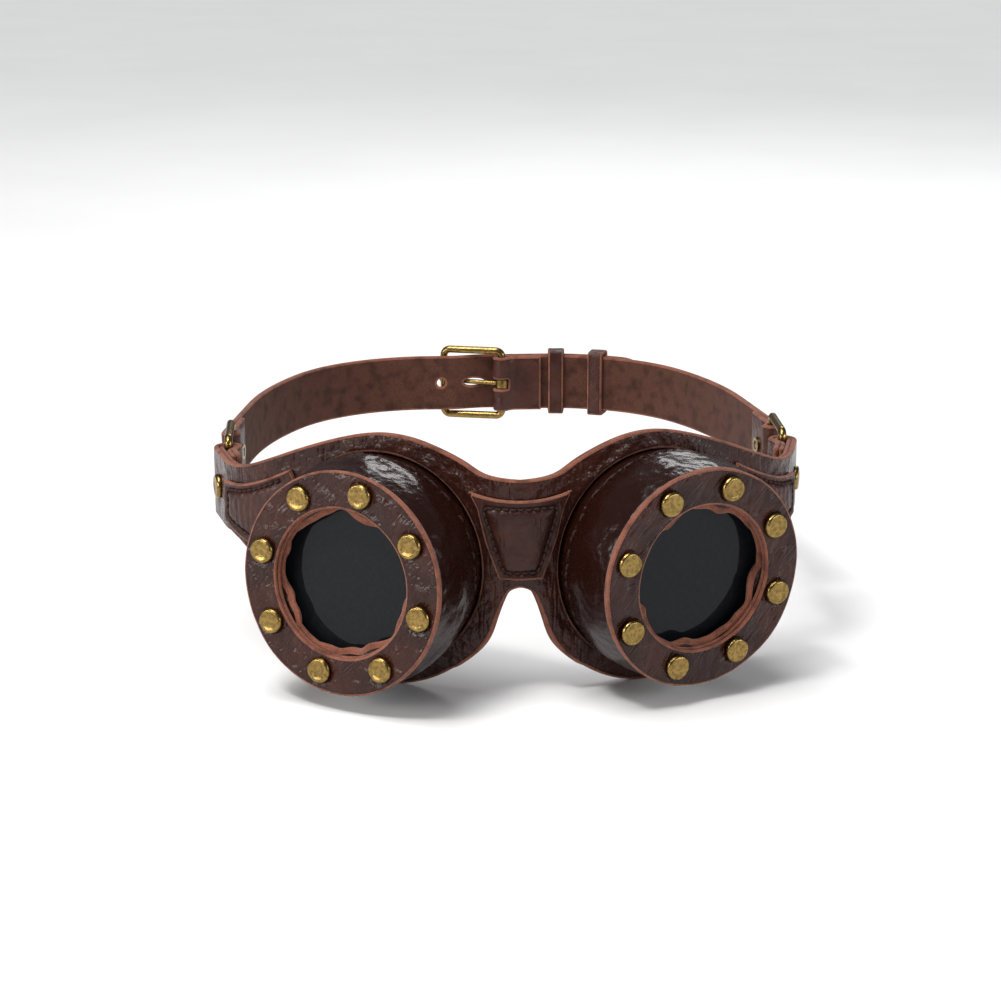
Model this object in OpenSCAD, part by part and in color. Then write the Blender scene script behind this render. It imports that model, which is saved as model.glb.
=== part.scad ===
// Round-lens leather goggles with riveted lens rings and a buckled head strap.
// Millimetres, +Z up. The wearer looks along -Y, so the wearer's left is at +X.
// The origin is the centre of the head space, at the height of the lens centres.

/* [Leather] */
// Thickness of one layer of mask leather
leather = 1.7; // [1.5:0.1:1.9]
// Thickness of the strap leather
strap_t = 2; // [1.8:0.1:2.2]
// Width of the strap
strap_w = 21; // [18:0.5:21]

/* [Mask] */
// Distance from the origin to the front of the bridge
bridge_front = 114.5; // [110:0.5:118]
// Radius of the bend over the nose
bridge_r = 24.7; // [23:0.1:27]
// Angle by which each eye panel is turned to its side
eye_yaw = 26; // [24:0.5:28]
// Flat length of an eye panel, from the nose bend to the lens axis
panel_in = 36; // [35:0.5:38]
// Flat length of an eye panel, from the lens axis to the side bend
panel_out = 34; // [33:0.5:36]
// Radius of the bend at the temple
temple_r = 38; // [34:1:42]
// Angle of the side tabs
tab_yaw = 77; // [74:1:80]
// Straight length of a side tab, from the temple bend to the link ring's bar
tab_len = 16.1; // [15:0.1:18]
// Height of the side tabs
tab_h = 23.2; // [21:0.1:23.4]
// Height of the middle of the tabs and the strap above the lens centres
tab_mid = 11.6; // [11:0.1:12]
// Radius of the hole in the mask round an eyecup
eye_hole_r = 34.6; // [34.4:0.1:35]
// Radius of the lower edge of the mask round an eyecup
mask_low_r = 41.5; // [40.5:0.5:43]

/* [Eyecups] */
// Distance from the mask to the front face of a lens ring
cup_h = 30; // [28:0.5:32]
// Outer radius of the eyecup wall at the mask
wall_base_r = 33.2; // [33:0.1:33.4]
// Outer radius of the eyecup wall under the lens ring
wall_top_r = 34.3; // [34:0.1:34.6]
// How far the eyecup wall bulges at half its height
wall_bulge = 1.9; // [0.5:0.1:2.5]

/* [Lens rings] */
// Outer radius of a lens ring
ring_r = 35.4; // [35:0.1:36]
// Radius of the window in a lens ring
window_r = 23.6; // [22.5:0.1:24]
// Thickness of each of the two leather discs of a lens ring
ring_t = 1.4; // [1.2:0.1:1.6]
// Radius of the circle of rivets
rivet_circle_r = 29.2; // [28.8:0.1:29.5]
// Number of rivets in a lens ring
rivet_count = 8; // [6:1:8]
// Angle by which the wearer's left ring faces sideways
ring_yaw_left = 27; // [25:0.5:30]
// Angle by which the wearer's left ring faces up
ring_pitch_left = -2.85; // [-4:0.05:4]
// Turn of the rivet circle of the wearer's left ring
ring_turn_left = 27.6; // [0:0.1:45]
// Angle by which the wearer's right ring faces sideways
ring_yaw_right = 32.5; // [25:0.5:33]
// Angle by which the wearer's right ring faces up
ring_pitch_right = 3.5; // [-4:0.05:4]
// Turn of the rivet circle of the wearer's right ring
ring_turn_right = 13.2; // [0:0.1:45]

/* [Lenses] */
// Radius of a lens
lens_r = 29.7; // [29:0.1:29.8]
// Thickness of a lens
lens_t = 2; // [1.8:0.1:2.4]

/* [Rivets] */
// Radius of a rivet's cap
cap_r = 4.1; // [3.6:0.1:4.4]
// Height of a rivet's cap
cap_h = 1.5; // [1.2:0.1:1.8]
// Radius of a rivet's post
post_r = 1.5; // [1.2:0.1:1.6]

/* [Link rings and buckle] */
// Radius of the brass wire
wire_r = 1.4; // [1.3:0.05:1.45]
// Distance between the two bars of a link ring
link_depth = 24; // [22:0.5:28]
// Distance between the two bars of the buckle
buckle_len = 22.6; // [21:0.1:24]
// Radius of the buckle's prong
prong_r = 0.9; // [0.7:0.1:1]

/* [Strap] */
// Half of the flat stretch of the strap behind the head
back_flat = 22; // [20:1:24]
// Radius of the strap behind the head
back_r = 58; // [54:1:60]
// Radius of the strap beside the head
side_r = 140; // [120:5:150]
// Distance from the strap's middle to the tip of its tongue
tongue_end = 64; // [58:1:68]
// Distance between the holes of the tongue
hole_pitch = 12; // [10:1:13]

/* [Hidden] */
$fn = 48;

LEATHER = [0.27, 0.13, 0.1];
PATCH = [0.33, 0.17, 0.15];
SUEDE = [0.5, 0.26, 0.18];
BRASS = [0.68, 0.53, 0.22];
SMOKED = [0.05, 0.06, 0.07];
RUBBER = [0.09, 0.09, 0.09];

// Running clearance of leather or brass round a wire bar
RUN = 0.05;
BORE_R = wire_r + RUN;
POST_HOLE_R = post_r + RUN;
// More than any height or thickness that a cutter has to pass
FAR = 160;
BACK_CAP_R = 2.7;
BACK_CAP_T = 0.9;

// The mask's plan curve: nose bend, flat eye panel, temple bend, straight tab
S_NOSE = bridge_r * eye_yaw * PI / 180;
S_EYE = S_NOSE + panel_in;
S_PANEL = S_EYE + panel_out;
S_TEMPLE = S_PANEL + temple_r * (tab_yaw - eye_yaw) * PI / 180;
S_BAR = S_TEMPLE + tab_len;
X_NOSE = bridge_r * sin(eye_yaw);
Y_NOSE = -bridge_front + bridge_r * (1 - cos(eye_yaw));
X_PANEL = X_NOSE + (panel_in + panel_out) * cos(eye_yaw);
Y_PANEL = Y_NOSE + (panel_in + panel_out) * sin(eye_yaw);
X_TEMPLE = X_PANEL + temple_r * (sin(tab_yaw) - sin(eye_yaw));
Y_TEMPLE = Y_PANEL + temple_r * (cos(eye_yaw) - cos(tab_yaw));

function turned(length, radius) = length / radius * 180 / PI;
function heading(s) =
    s < S_NOSE ? turned(s, bridge_r) :
    s < S_PANEL ? eye_yaw :
    s < S_TEMPLE ? eye_yaw + turned(s - S_PANEL, temple_r) :
    tab_yaw;
function mask_x(s) =
    s < S_NOSE ? bridge_r * sin(heading(s)) :
    s < S_PANEL ? X_NOSE + (s - S_NOSE) * cos(eye_yaw) :
    s < S_TEMPLE ? X_PANEL + temple_r * (sin(heading(s)) - sin(eye_yaw)) :
    X_TEMPLE + (s - S_TEMPLE) * cos(tab_yaw);
function mask_y(s) =
    s < S_NOSE ? -bridge_front + bridge_r * (1 - cos(heading(s))) :
    s < S_PANEL ? Y_NOSE + (s - S_NOSE) * sin(eye_yaw) :
    s < S_TEMPLE ? Y_PANEL + temple_r * (cos(eye_yaw) - cos(heading(s))) :
    Y_TEMPLE + (s - S_TEMPLE) * sin(tab_yaw);
// A point at length s from the middle of the bridge, and out of the mask's outer face
function mask_pt(s, out) = let (a = abs(s), h = heading(a))
    [sign(s) * (mask_x(a) + out * sin(h)), mask_y(a) - out * cos(h)];

NOSE_STEPS = 6;
TEMPLE_STEPS = 10;
HALF_KNOTS = concat(
    [for (i = [1:NOSE_STEPS]) S_NOSE * i / NOSE_STEPS],
    [for (i = [0:TEMPLE_STEPS]) S_PANEL + (S_TEMPLE - S_PANEL) * i / TEMPLE_STEPS]);
MASK_KNOTS = concat([for (i = [len(HALF_KNOTS) - 1:-1:0]) -HALF_KNOTS[i]], [0], HALF_KNOTS);
function between(knots, a, b) =
    concat([a], [for (k = knots) if (k > a + 0.01 && k < b - 0.01) k], [b]);
function reversed(list) = [for (i = [len(list) - 1:-1:0]) list[i]];

// The bar of each link ring that the tab folds round
BAR_OUT = -(2 * leather + BORE_R);
FRONT_BAR = mask_pt(S_BAR, BAR_OUT);
REAR_BAR = FRONT_BAR + [0, link_depth];

// The strap's plan curve: flat back, back bend, side bend, straight to the link ring
BACK_TURN = 60;
RING_TURN = 79.8;
STRAP_BAR_OUT = -(strap_t + BORE_R);
STRAP_RUN = (REAR_BAR[0] - back_flat - back_r * sin(BACK_TURN)
    - side_r * (sin(RING_TURN) - sin(BACK_TURN)) - STRAP_BAR_OUT * sin(RING_TURN))
    / cos(RING_TURN);
T_BACK = back_flat + back_r * BACK_TURN * PI / 180;
T_SIDE = T_BACK + side_r * (RING_TURN - BACK_TURN) * PI / 180;
T_BAR = T_SIDE + STRAP_RUN;
STRAP_BACK = REAR_BAR[1] + back_r * (1 - cos(BACK_TURN))
    + side_r * (cos(BACK_TURN) - cos(RING_TURN)) + STRAP_RUN * sin(RING_TURN)
    - STRAP_BAR_OUT * cos(RING_TURN);

function strap_turn(s) =
    s < back_flat ? 0 :
    s < T_BACK ? turned(s - back_flat, back_r) :
    s < T_SIDE ? BACK_TURN + turned(s - T_BACK, side_r) :
    RING_TURN;
function strap_x(s) =
    s < back_flat ? s :
    s < T_BACK ? back_flat + back_r * sin(strap_turn(s)) :
    s < T_SIDE ? strap_x(T_BACK - 0.001) + side_r * (sin(strap_turn(s)) - sin(BACK_TURN)) :
    strap_x(T_SIDE - 0.001) + (s - T_SIDE) * cos(RING_TURN);
function strap_y(s) =
    s < back_flat ? STRAP_BACK :
    s < T_BACK ? STRAP_BACK - back_r * (1 - cos(strap_turn(s))) :
    s < T_SIDE ? strap_y(T_BACK - 0.001) - side_r * (cos(BACK_TURN) - cos(strap_turn(s))) :
    strap_y(T_SIDE - 0.001) - (s - T_SIDE) * sin(RING_TURN);
// A point at length s from the middle of the back, and out of the strap's outer face
function strap_pt(s, out) = let (a = abs(s), h = strap_turn(a))
    [sign(s) * (strap_x(a) + out * sin(h)), strap_y(a) + out * cos(h)];

// The tongue leaves the strap's line and climbs over the other half at the buckle
TONGUE_GAP = 0.3;
TONGUE_OUT = strap_t + TONGUE_GAP;
CLIMB = [-14, 0];
function tongue_out(s) =
    s < CLIMB[0] ? 0 :
    s > CLIMB[1] ? TONGUE_OUT :
    TONGUE_OUT * (1 - cos(180 * (s - CLIMB[0]) / (CLIMB[1] - CLIMB[0]))) / 2;
BACK_STEPS = 14;
SIDE_STEPS = 6;
STRAP_HALF_KNOTS = concat(
    [for (i = [0:BACK_STEPS]) back_flat + (T_BACK - back_flat) * i / BACK_STEPS],
    [for (i = [1:SIDE_STEPS]) T_BACK + (T_SIDE - T_BACK) * i / SIDE_STEPS]);
CLIMB_STEPS = 6;
CLIMB_KNOTS = [for (i = [0:CLIMB_STEPS]) CLIMB[0] + (CLIMB[1] - CLIMB[0]) * i / CLIMB_STEPS];
STRAP_KNOTS = concat([for (i = [len(STRAP_HALF_KNOTS) - 1:-1:0]) -STRAP_HALF_KNOTS[i]],
    CLIMB_KNOTS, STRAP_HALF_KNOTS);

// The bars of the buckle, the heel bar inside the fold and the rest bar over the tongue
HEEL_BAR = [6, STRAP_BACK + STRAP_BAR_OUT];
FRAME_TILT = round(10 * asin((TONGUE_GAP + wire_r - STRAP_BAR_OUT) / buckle_len)) / 10;
PRONG_GAP = 0.15;
PRONG_TILT = FRAME_TILT + asin((wire_r + prong_r + PRONG_GAP) / buckle_len);
PRONG_LIFT = 5;
PRONG_HOLE_S = -5.3;

// The mask's upper edge as length from the middle and height, up to the tab
TOP_EDGE = [[0, 29.7], [8, 30.3], [13.5, 31.4], [20, 34.8], [28, 37.9], [36, 40.1], [44, 41],
    [52, 40.4], [62, 37.9], [74, 33.8], [86, 29], [96, 25.3], [104, 23.6]];
// The lower edge beside the nose, and between the eye and the tab
NOSE_EDGE = [[0, -4.9], [3.4, -6.2], [5.6, -10], [7.6, -15], [9.8, -20.8], [12.6, -25.2],
    [16.5, -29.2], [21, -32.8]];
TAB_EDGE = [[92, -7.6], [97, -3.6], [102, -1.2], [108, 0.2]];
EDGE_STEPS = 3;
function spline(p, steps) = [for (i = [0:len(p) - 2], k = [0:steps - 1])
    let (a = p[max(i - 1, 0)], b = p[i], c = p[i + 1], d = p[min(i + 2, len(p) - 1)], t = k / steps)
    (2 * b + (c - a) * t + (2 * a - 5 * b + 4 * c - d) * t * t + (3 * b - a - 3 * c + d) * t * t * t) / 2];
function arc_points(r, from, to, steps) = [for (i = [0:steps])
    let (a = from + (to - from) * i / steps) [S_EYE + r * cos(a), r * sin(a)]];
TAB_TOP = tab_mid + tab_h / 2;
TAB_LOW = tab_mid - tab_h / 2;
HALF_EDGE = concat(
    spline(TOP_EDGE, EDGE_STEPS), [TOP_EDGE[len(TOP_EDGE) - 1], [114, TAB_TOP], [S_BAR + 40, TAB_TOP],
        [S_BAR + 40, TAB_LOW], [114, TAB_LOW]],
    reversed(TAB_EDGE),
    arc_points(mask_low_r, -18, -126, 18),
    reversed(spline(NOSE_EDGE, EDGE_STEPS)));

// Shape helpers

module both_sides() {
    children();
    mirror([1, 0, 0]) children();
}

// A strip of leather that follows the mask's curve between two lengths
module mask_strip(from, to, inner, outer) {
    stations = between(MASK_KNOTS, from, to);
    translate([0, 0, -FAR / 2])
        linear_extrude(FAR)
            polygon(concat([for (s = stations) mask_pt(s, outer)],
                [for (s = reversed(stations)) mask_pt(s, inner)]));
}

// A block whose front view is an outline, given as length and height
module front_outline(points, out) {
    rotate([90, 0, 0])
        translate([0, 0, -FAR / 2])
            linear_extrude(FAR * 2)
                polygon([for (p = points) [mask_pt(p[0], out)[0], p[1]]]);
}

function whole_edge(half) = concat(half, [for (p = reversed(half)) if (p[0] > 0) [-p[0], p[1]]]);

module mask_outline(out) {
    front_outline(whole_edge(HALF_EDGE), out);
}

module eye_frame() {
    translate([mask_x(S_EYE), mask_y(S_EYE), 0])
        rotate([0, 90, eye_yaw - 90])
            children();
}

// The frame of a lens ring: its +Z is the way the lens looks, 0 is the ring's front face
module ring_frame(yaw, pitch) {
    centre = mask_pt(S_EYE, cup_h);
    translate([centre[0], centre[1], 0])
        rotate([0, 90 - pitch, yaw - 90])
            children();
}

module at_rivets(turn) {
    for (k = [0:rivet_count - 1])
        rotate([0, 0, 90 + turn + 360 / rivet_count * k])
            translate([rivet_circle_r, 0, 0])
                children();
}

module on_mask(s, z, out) {
    p = mask_pt(s, out);
    translate([p[0], p[1], z])
        rotate([0, 90, heading(s) - 90])
            children();
}

module on_strap(s, out) {
    p = strap_pt(s, out);
    translate([p[0], p[1], tab_mid])
        rotate([0, 90, 90 - sign(s) * strap_turn(abs(s))])
            children();
}

// A rivet's cap and post, standing on the outer face of what it holds
module rivet(grip) {
    rotate_extrude()
        polygon([[0, 0], [cap_r, 0], [cap_r, 0.35], [cap_r - 0.25, 0.8], [cap_r - 0.7, cap_h - 0.25],
            [cap_r - 1.3, cap_h], [cap_r - 2, cap_h - 0.08], [0, cap_h - 0.2]]);
    translate([0, 0, -grip - BACK_CAP_T + 0.1])
        cylinder(r = post_r, h = grip + BACK_CAP_T);
}

module rivet_back() {
    difference() {
        translate([0, 0, -BACK_CAP_T])
            cylinder(r = BACK_CAP_R, h = BACK_CAP_T);
        translate([0, 0, -FAR / 2])
            cylinder(r = POST_HOLE_R, h = FAR);
    }
}

module post_hole() {
    translate([0, 0, -FAR / 8])
        cylinder(r = POST_HOLE_R, h = FAR / 4);
}

// A rectangular loop of round wire: one bar on the Z axis, the other at +Y
CORNER_R = 2.4;
module wire_loop(depth, half_h) {
    bar_h = 2 * (half_h - CORNER_R);
    for (y = [0, depth])
        translate([0, y, -bar_h / 2])
            cylinder(r = wire_r, h = bar_h);
    for (z = [-half_h, half_h])
        translate([0, CORNER_R, z])
            rotate([-90, 0, 0])
                cylinder(r = wire_r, h = depth - 2 * CORNER_R);
    for (up = [0, 1])
        for (rear = [0, 1])
            mirror([0, 0, up])
                translate([0, depth / 2, 0])
                    mirror([0, rear, 0])
                        translate([0, depth / 2 - CORNER_R, half_h - CORNER_R])
                            rotate([90, 0, 90])
                                rotate_extrude(angle = 90)
                                    translate([CORNER_R, 0])
                                        circle(r = wire_r);
}

// A layer of leather that folds round a bar on the Z axis and comes back along -X.
// The layer lies between two radii from the bar, and its tail lies on the +Y side.
module fold(r_in, r_out, ramp, tail, height) {
    drop = 2 * BORE_R;
    difference() {
        translate([0, 0, -height / 2])
            linear_extrude(height)
                union() {
                    difference() {
                        intersection() {
                            circle(r = r_out);
                            translate([0, -FAR / 2]) square([FAR, FAR]);
                        }
                        circle(r = r_in);
                    }
                    polygon([[0, r_in], [0, r_out], [-ramp, r_out - drop], [-tail, r_out - drop],
                        [-tail, r_in - drop], [-ramp, r_in - drop]]);
                }
        translate([0, 0, -FAR / 2])
            cylinder(r = BORE_R, h = FAR);
    }
}

TAIL_RAMP = 4.6;
TAB_TAIL = 13.5;
TAB_RIVET_S = S_BAR - 8;
STRAP_TAIL = 20;
STRAP_RIVET_S = T_BAR - 13;
BUCKLE_TAIL = 15;

// The plan of a tab's end: round the bar, then back inside the tab as a tail.
// The layer lies between two radii from the bar.
FOLD_STEP = 15;
TAIL_GAP = 0.1;
function from_bar(x, y) = FRONT_BAR
    + [x * cos(tab_yaw) - y * sin(tab_yaw), x * sin(tab_yaw) + y * cos(tab_yaw)];
function round_bar(r) = [for (a = [FOLD_STEP - 90:FOLD_STEP:90]) from_bar(r * cos(a), r * sin(a))];
function tab_end(r_in, r_out, r_arc) = let (drop = 2 * BORE_R - TAIL_GAP)
    concat(round_bar(r_out),
        [from_bar(-TAIL_RAMP, r_out - drop), from_bar(-TAB_TAIL, r_out - drop),
            from_bar(-TAB_TAIL, r_in - drop), from_bar(-TAIL_RAMP, r_in - drop)],
        reversed(round_bar(r_arc)));

// One layer of the mask with its two folded tabs
module mask_layer(inner, outer, hole_r, r_arc) {
    stations = between(MASK_KNOTS, -S_BAR, S_BAR);
    end = tab_end(inner - BAR_OUT, outer - BAR_OUT, r_arc);
    difference() {
        intersection() {
            translate([0, 0, -FAR / 2])
                linear_extrude(FAR)
                    polygon(concat([for (s = stations) mask_pt(s, outer)], end,
                        [for (s = reversed(stations)) mask_pt(s, inner)],
                        [for (p = reversed(end)) [-p[0], p[1]]]));
            mask_outline((inner + outer) / 2);
        }
        both_sides() {
            eye_frame()
                translate([0, 0, -10])
                    cylinder(r = hole_r, h = 20);
            on_mask(TAB_RIVET_S, tab_mid, 0) post_hole();
            translate([FRONT_BAR[0], FRONT_BAR[1], -FAR / 2])
                cylinder(r = BORE_R, h = FAR);
        }
    }
}

// Sub-parts

module mask_outer() {
    color(LEATHER)
        mask_layer(-leather, 0, eye_hole_r, BORE_R + leather);
}

LINING_HOLE_R = eye_hole_r - 0.6;
module mask_lining() {
    color(SUEDE)
        mask_layer(-2 * leather, -leather, LINING_HOLE_R, BORE_R - 0.3);
}

// A keystone-shaped patch over the nose
PATCH_SAG = 2;
PATCH_SIDE = [[13.7, 20.5], [11, 10.5], [8.6, 3.5], [6.6, -1.9]];
module bridge_patch() {
    top = [for (i = [0:8]) let (s = 16.5 * i / 8) [s, 23.5 + PATCH_SAG * pow(s / 16.5, 2)]];
    color(PATCH)
        intersection() {
            mask_strip(-17, 17, 0, leather);
            front_outline(whole_edge(concat(top, PATCH_SIDE)), leather / 2);
        }
}

// A patch at the temple that reaches from the eyecup to the tab
SIDE_PATCH_TOP = [[78.2, 26.5], [84, 23.6], [90, 21], [96.6, 18.9], [103, 17.9], [112, 17.5]];
SIDE_PATCH_LOW = [[112, 4.6], [104, 2.4], [94, -0.8]];
SIDE_PATCH_END = 108.8;
SIDE_PATCH_R = 37.4;
module side_patch() {
    color(PATCH)
        intersection() {
            mask_strip(70, SIDE_PATCH_END, 0, leather);
            front_outline(concat(SIDE_PATCH_TOP, SIDE_PATCH_LOW, arc_points(SIDE_PATCH_R, -6, 38, 8)),
                leather / 2);
        }
}

module side_patch_left() {
    side_patch();
}

module side_patch_right() {
    mirror([1, 0, 0]) side_patch();
}

// The eyecup: a sewn foot behind the mask, a bulged wall and a lip turned in under the ring
FOOT_R = 38;
WALL_BULGE_H = 24;
WALL_REACH = 38;
LIP_R = 22;
RING_STACK = 2 * ring_t;
LIP_BACK = RING_STACK + leather;
function wall_r(h) = wall_base_r + (wall_top_r - wall_base_r) * h / WALL_BULGE_H
    + wall_bulge * sin(180 * h / WALL_BULGE_H);
WALL_OUTER = concat([for (i = [0:8]) let (h = WALL_BULGE_H * i / 8) [wall_r(h), h]],
    [[wall_top_r, WALL_REACH]]);
function drawn_in(points) = [for (p = reversed(points)) [p[0] - leather, p[1]]];

module eyecup(yaw, pitch, turn) {
    color(LEATHER)
        difference() {
            union() {
                eye_frame()
                    rotate_extrude()
                        polygon(concat(
                            [[FOOT_R, -3 * leather], [FOOT_R, -2 * leather], [wall_base_r, -2 * leather]],
                            WALL_OUTER, drawn_in(WALL_OUTER),
                            [[wall_base_r - leather, -3 * leather]]));
                ring_frame(yaw, pitch)
                    translate([0, 0, -LIP_BACK])
                        cylinder(r = wall_top_r - 0.7, h = leather + 1);
            }
            ring_frame(yaw, pitch) {
                translate([-FAR / 2, -FAR / 2, -RING_STACK])
                    cube([FAR, FAR, FAR / 4]);
                translate([0, 0, -FAR / 8])
                    cylinder(r = LIP_R, h = FAR / 4);
                at_rivets(turn)
                    translate([0, 0, -LIP_BACK - 2])
                        cylinder(r = POST_HOLE_R, h = leather + 4);
            }
            // The foot is cut straight where the mask starts to bend
            eye_frame() {
                translate([-FAR / 2, panel_out - 0.1, -3 * leather - 1])
                    cube([FAR, FAR, leather + 1.5]);
                translate([-FAR / 2, -panel_in + 0.1 - FAR, -3 * leather - 1])
                    cube([FAR, FAR, leather + 1.5]);
            }
        }
}

module eyecup_left() {
    eyecup(ring_yaw_left, ring_pitch_left, ring_turn_left);
}

module eyecup_right() {
    mirror([1, 0, 0]) eyecup(ring_yaw_right, ring_pitch_right, ring_turn_right);
}

// A leather disc of a lens ring, from one depth behind the front face to another
module ring_disc(yaw, pitch, turn, r_out, r_in, depth) {
    ring_frame(yaw, pitch)
        difference() {
            translate([0, 0, -depth - ring_t])
                cylinder(r = r_out, h = ring_t);
            translate([0, 0, -depth - ring_t - 1])
                cylinder(r = r_in, h = ring_t + 2);
            at_rivets(turn)
                translate([0, 0, -depth - ring_t - 1])
                    cylinder(r = POST_HOLE_R, h = ring_t + 2);
        }
}

module ring_front_left() {
    color(LEATHER) ring_disc(ring_yaw_left, ring_pitch_left, ring_turn_left, ring_r, window_r, 0);
}

module ring_front_right() {
    color(LEATHER)
        mirror([1, 0, 0])
            ring_disc(ring_yaw_right, ring_pitch_right, ring_turn_right, ring_r, window_r, 0);
}

BACK_DISC_TRIM = 0.3;
module ring_back_left() {
    color(SUEDE)
        ring_disc(ring_yaw_left, ring_pitch_left, ring_turn_left,
            ring_r - BACK_DISC_TRIM, window_r - BACK_DISC_TRIM, ring_t);
}

module ring_back_right() {
    color(SUEDE)
        mirror([1, 0, 0])
            ring_disc(ring_yaw_right, ring_pitch_right, ring_turn_right,
                ring_r - BACK_DISC_TRIM, window_r - BACK_DISC_TRIM, ring_t);
}

module ring_rivets(yaw, pitch, turn) {
    color(BRASS)
        ring_frame(yaw, pitch)
            at_rivets(turn)
                rivet(LIP_BACK);
}

module ring_rivets_left() {
    ring_rivets(ring_yaw_left, ring_pitch_left, ring_turn_left);
}

module ring_rivets_right() {
    mirror([1, 0, 0]) ring_rivets(ring_yaw_right, ring_pitch_right, ring_turn_right);
}

module ring_rivet_backs(yaw, pitch, turn) {
    color(BRASS)
        ring_frame(yaw, pitch)
            at_rivets(turn)
                translate([0, 0, -LIP_BACK])
                    rivet_back();
}

module ring_rivet_backs_left() {
    ring_rivet_backs(ring_yaw_left, ring_pitch_left, ring_turn_left);
}

module ring_rivet_backs_right() {
    mirror([1, 0, 0]) ring_rivet_backs(ring_yaw_right, ring_pitch_right, ring_turn_right);
}

// The gasket is a grooved rubber ring behind the rivets, and it holds the lens by its rim
GASKET_FRONT = LIP_BACK + BACK_CAP_T;
GASKET_LIP = 1;
LENS_RECESS = 2.4;
GASKET_R = lens_r + 1.5;
GASKET_IN = lens_r - 1.3;
LENS_FRONT = GASKET_FRONT + LENS_RECESS;
module lens_gasket(yaw, pitch) {
    back = LENS_FRONT + lens_t + GASKET_LIP;
    color(RUBBER)
        ring_frame(yaw, pitch)
            rotate_extrude()
                polygon([[GASKET_IN, -GASKET_FRONT], [GASKET_R, -GASKET_FRONT], [GASKET_R, -back],
                    [GASKET_IN, -back], [GASKET_IN, -LENS_FRONT - lens_t],
                    [lens_r, -LENS_FRONT - lens_t], [lens_r, -LENS_FRONT],
                    [GASKET_IN, -LENS_FRONT]]);
}

module lens_gasket_left() {
    lens_gasket(ring_yaw_left, ring_pitch_left);
}

module lens_gasket_right() {
    mirror([1, 0, 0]) lens_gasket(ring_yaw_right, ring_pitch_right);
}

module lens(yaw, pitch) {
    color(SMOKED)
        ring_frame(yaw, pitch)
            translate([0, 0, -LENS_FRONT - lens_t])
                cylinder(r = lens_r, h = lens_t);
}

module lens_left() {
    lens(ring_yaw_left, ring_pitch_left);
}

module lens_right() {
    mirror([1, 0, 0]) lens(ring_yaw_right, ring_pitch_right);
}

// The tab and its folded tail, which lies a little off it
TAB_GRIP = 4 * leather + TAIL_GAP;
module tab_rivets() {
    color(BRASS)
        both_sides()
            on_mask(TAB_RIVET_S, tab_mid, 0)
                rivet(TAB_GRIP);
}

module tab_rivet_backs() {
    color(BRASS)
        both_sides()
            on_mask(TAB_RIVET_S, tab_mid, -TAB_GRIP)
                rivet_back();
}

LINK_HALF_H = 12.3 + wire_r;
module link_ring_left() {
    color(BRASS)
        translate([FRONT_BAR[0], FRONT_BAR[1], tab_mid])
            wire_loop(link_depth, LINK_HALF_H);
}

module link_ring_right() {
    mirror([1, 0, 0]) link_ring_left();
}

// A strip of strap leather between two lengths; the tongue's rise is in the climb argument
module strap_strip(from, to, climb) {
    stations = between(STRAP_KNOTS, from, to);
    translate([0, 0, tab_mid - strap_w / 2])
        linear_extrude(strap_w)
            polygon(concat([for (s = stations) strap_pt(s, climb * tongue_out(s))],
                [for (s = reversed(stations)) strap_pt(s, climb * tongue_out(s) - strap_t)]));
}

module strap_ring_end() {
    translate([REAR_BAR[0], REAR_BAR[1], tab_mid])
        rotate([0, 0, -RING_TURN])
            mirror([0, 1, 0])
                fold(BORE_R, BORE_R + strap_t, TAIL_RAMP, STRAP_TAIL, strap_w);
}

PRONG_EYE_R = 2.5;
PRONG_EYE_W = 3;
PRONG_SLOT = PRONG_EYE_W + 0.8;
module strap_left() {
    color(LEATHER)
        difference() {
            union() {
                strap_strip(HEEL_BAR[0], T_BAR, 0);
                strap_ring_end();
                translate([HEEL_BAR[0], HEEL_BAR[1], tab_mid])
                    rotate([0, 0, 180])
                        fold(BORE_R, BORE_R + strap_t, TAIL_RAMP, BUCKLE_TAIL, strap_w);
            }
            on_strap(STRAP_RIVET_S, 0) post_hole();
            // The slot that the prong works in
            translate([HEEL_BAR[0] - 5, HEEL_BAR[1] - 5, tab_mid - PRONG_SLOT / 2])
                cube([8.4, 10, PRONG_SLOT]);
        }
}

// The prong's own line, from the heel bar out over the rest bar
module prong_line(lift) {
    translate([HEEL_BAR[0], HEEL_BAR[1], tab_mid])
        rotate([0, 0, 180 - PRONG_TILT - lift])
            rotate([0, 90, 0])
                children();
}

HOLE_R = 1.6;
HOLE_CLEAR = 0.3;
HOLES = [for (k = [-1, 1, 2, 3, 4]) PRONG_HOLE_S + k * hole_pitch];
module strap_right() {
    tip_r = strap_w / 2;
    color(LEATHER)
        difference() {
            union() {
                strap_strip(-T_BAR, tongue_end, 1);
                mirror([1, 0, 0]) strap_ring_end();
            }
            mirror([1, 0, 0]) on_strap(STRAP_RIVET_S, 0) post_hole();
            for (s = HOLES)
                on_strap(s, 0)
                    translate([0, 0, -8])
                        cylinder(r = HOLE_R, h = 16);
            for (lift = [0, PRONG_LIFT / 2, PRONG_LIFT])
                prong_line(lift)
                    cylinder(r = prong_r + HOLE_CLEAR, h = buckle_len);
            // The rounded tip of the tongue
            on_strap(tongue_end - tip_r, TONGUE_OUT)
                difference() {
                    translate([-FAR / 8, -FAR / 8, -8])
                        cube([FAR / 4, FAR / 8, 16]);
                    translate([0, 0, -9])
                        cylinder(r = tip_r, h = 18);
                }
        }
}

module strap_rivets() {
    color(BRASS)
        both_sides()
            on_strap(STRAP_RIVET_S, 0)
                rivet(2 * strap_t);
}

module strap_rivet_backs() {
    color(BRASS)
        both_sides()
            on_strap(STRAP_RIVET_S, -2 * strap_t)
                rivet_back();
}

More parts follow.
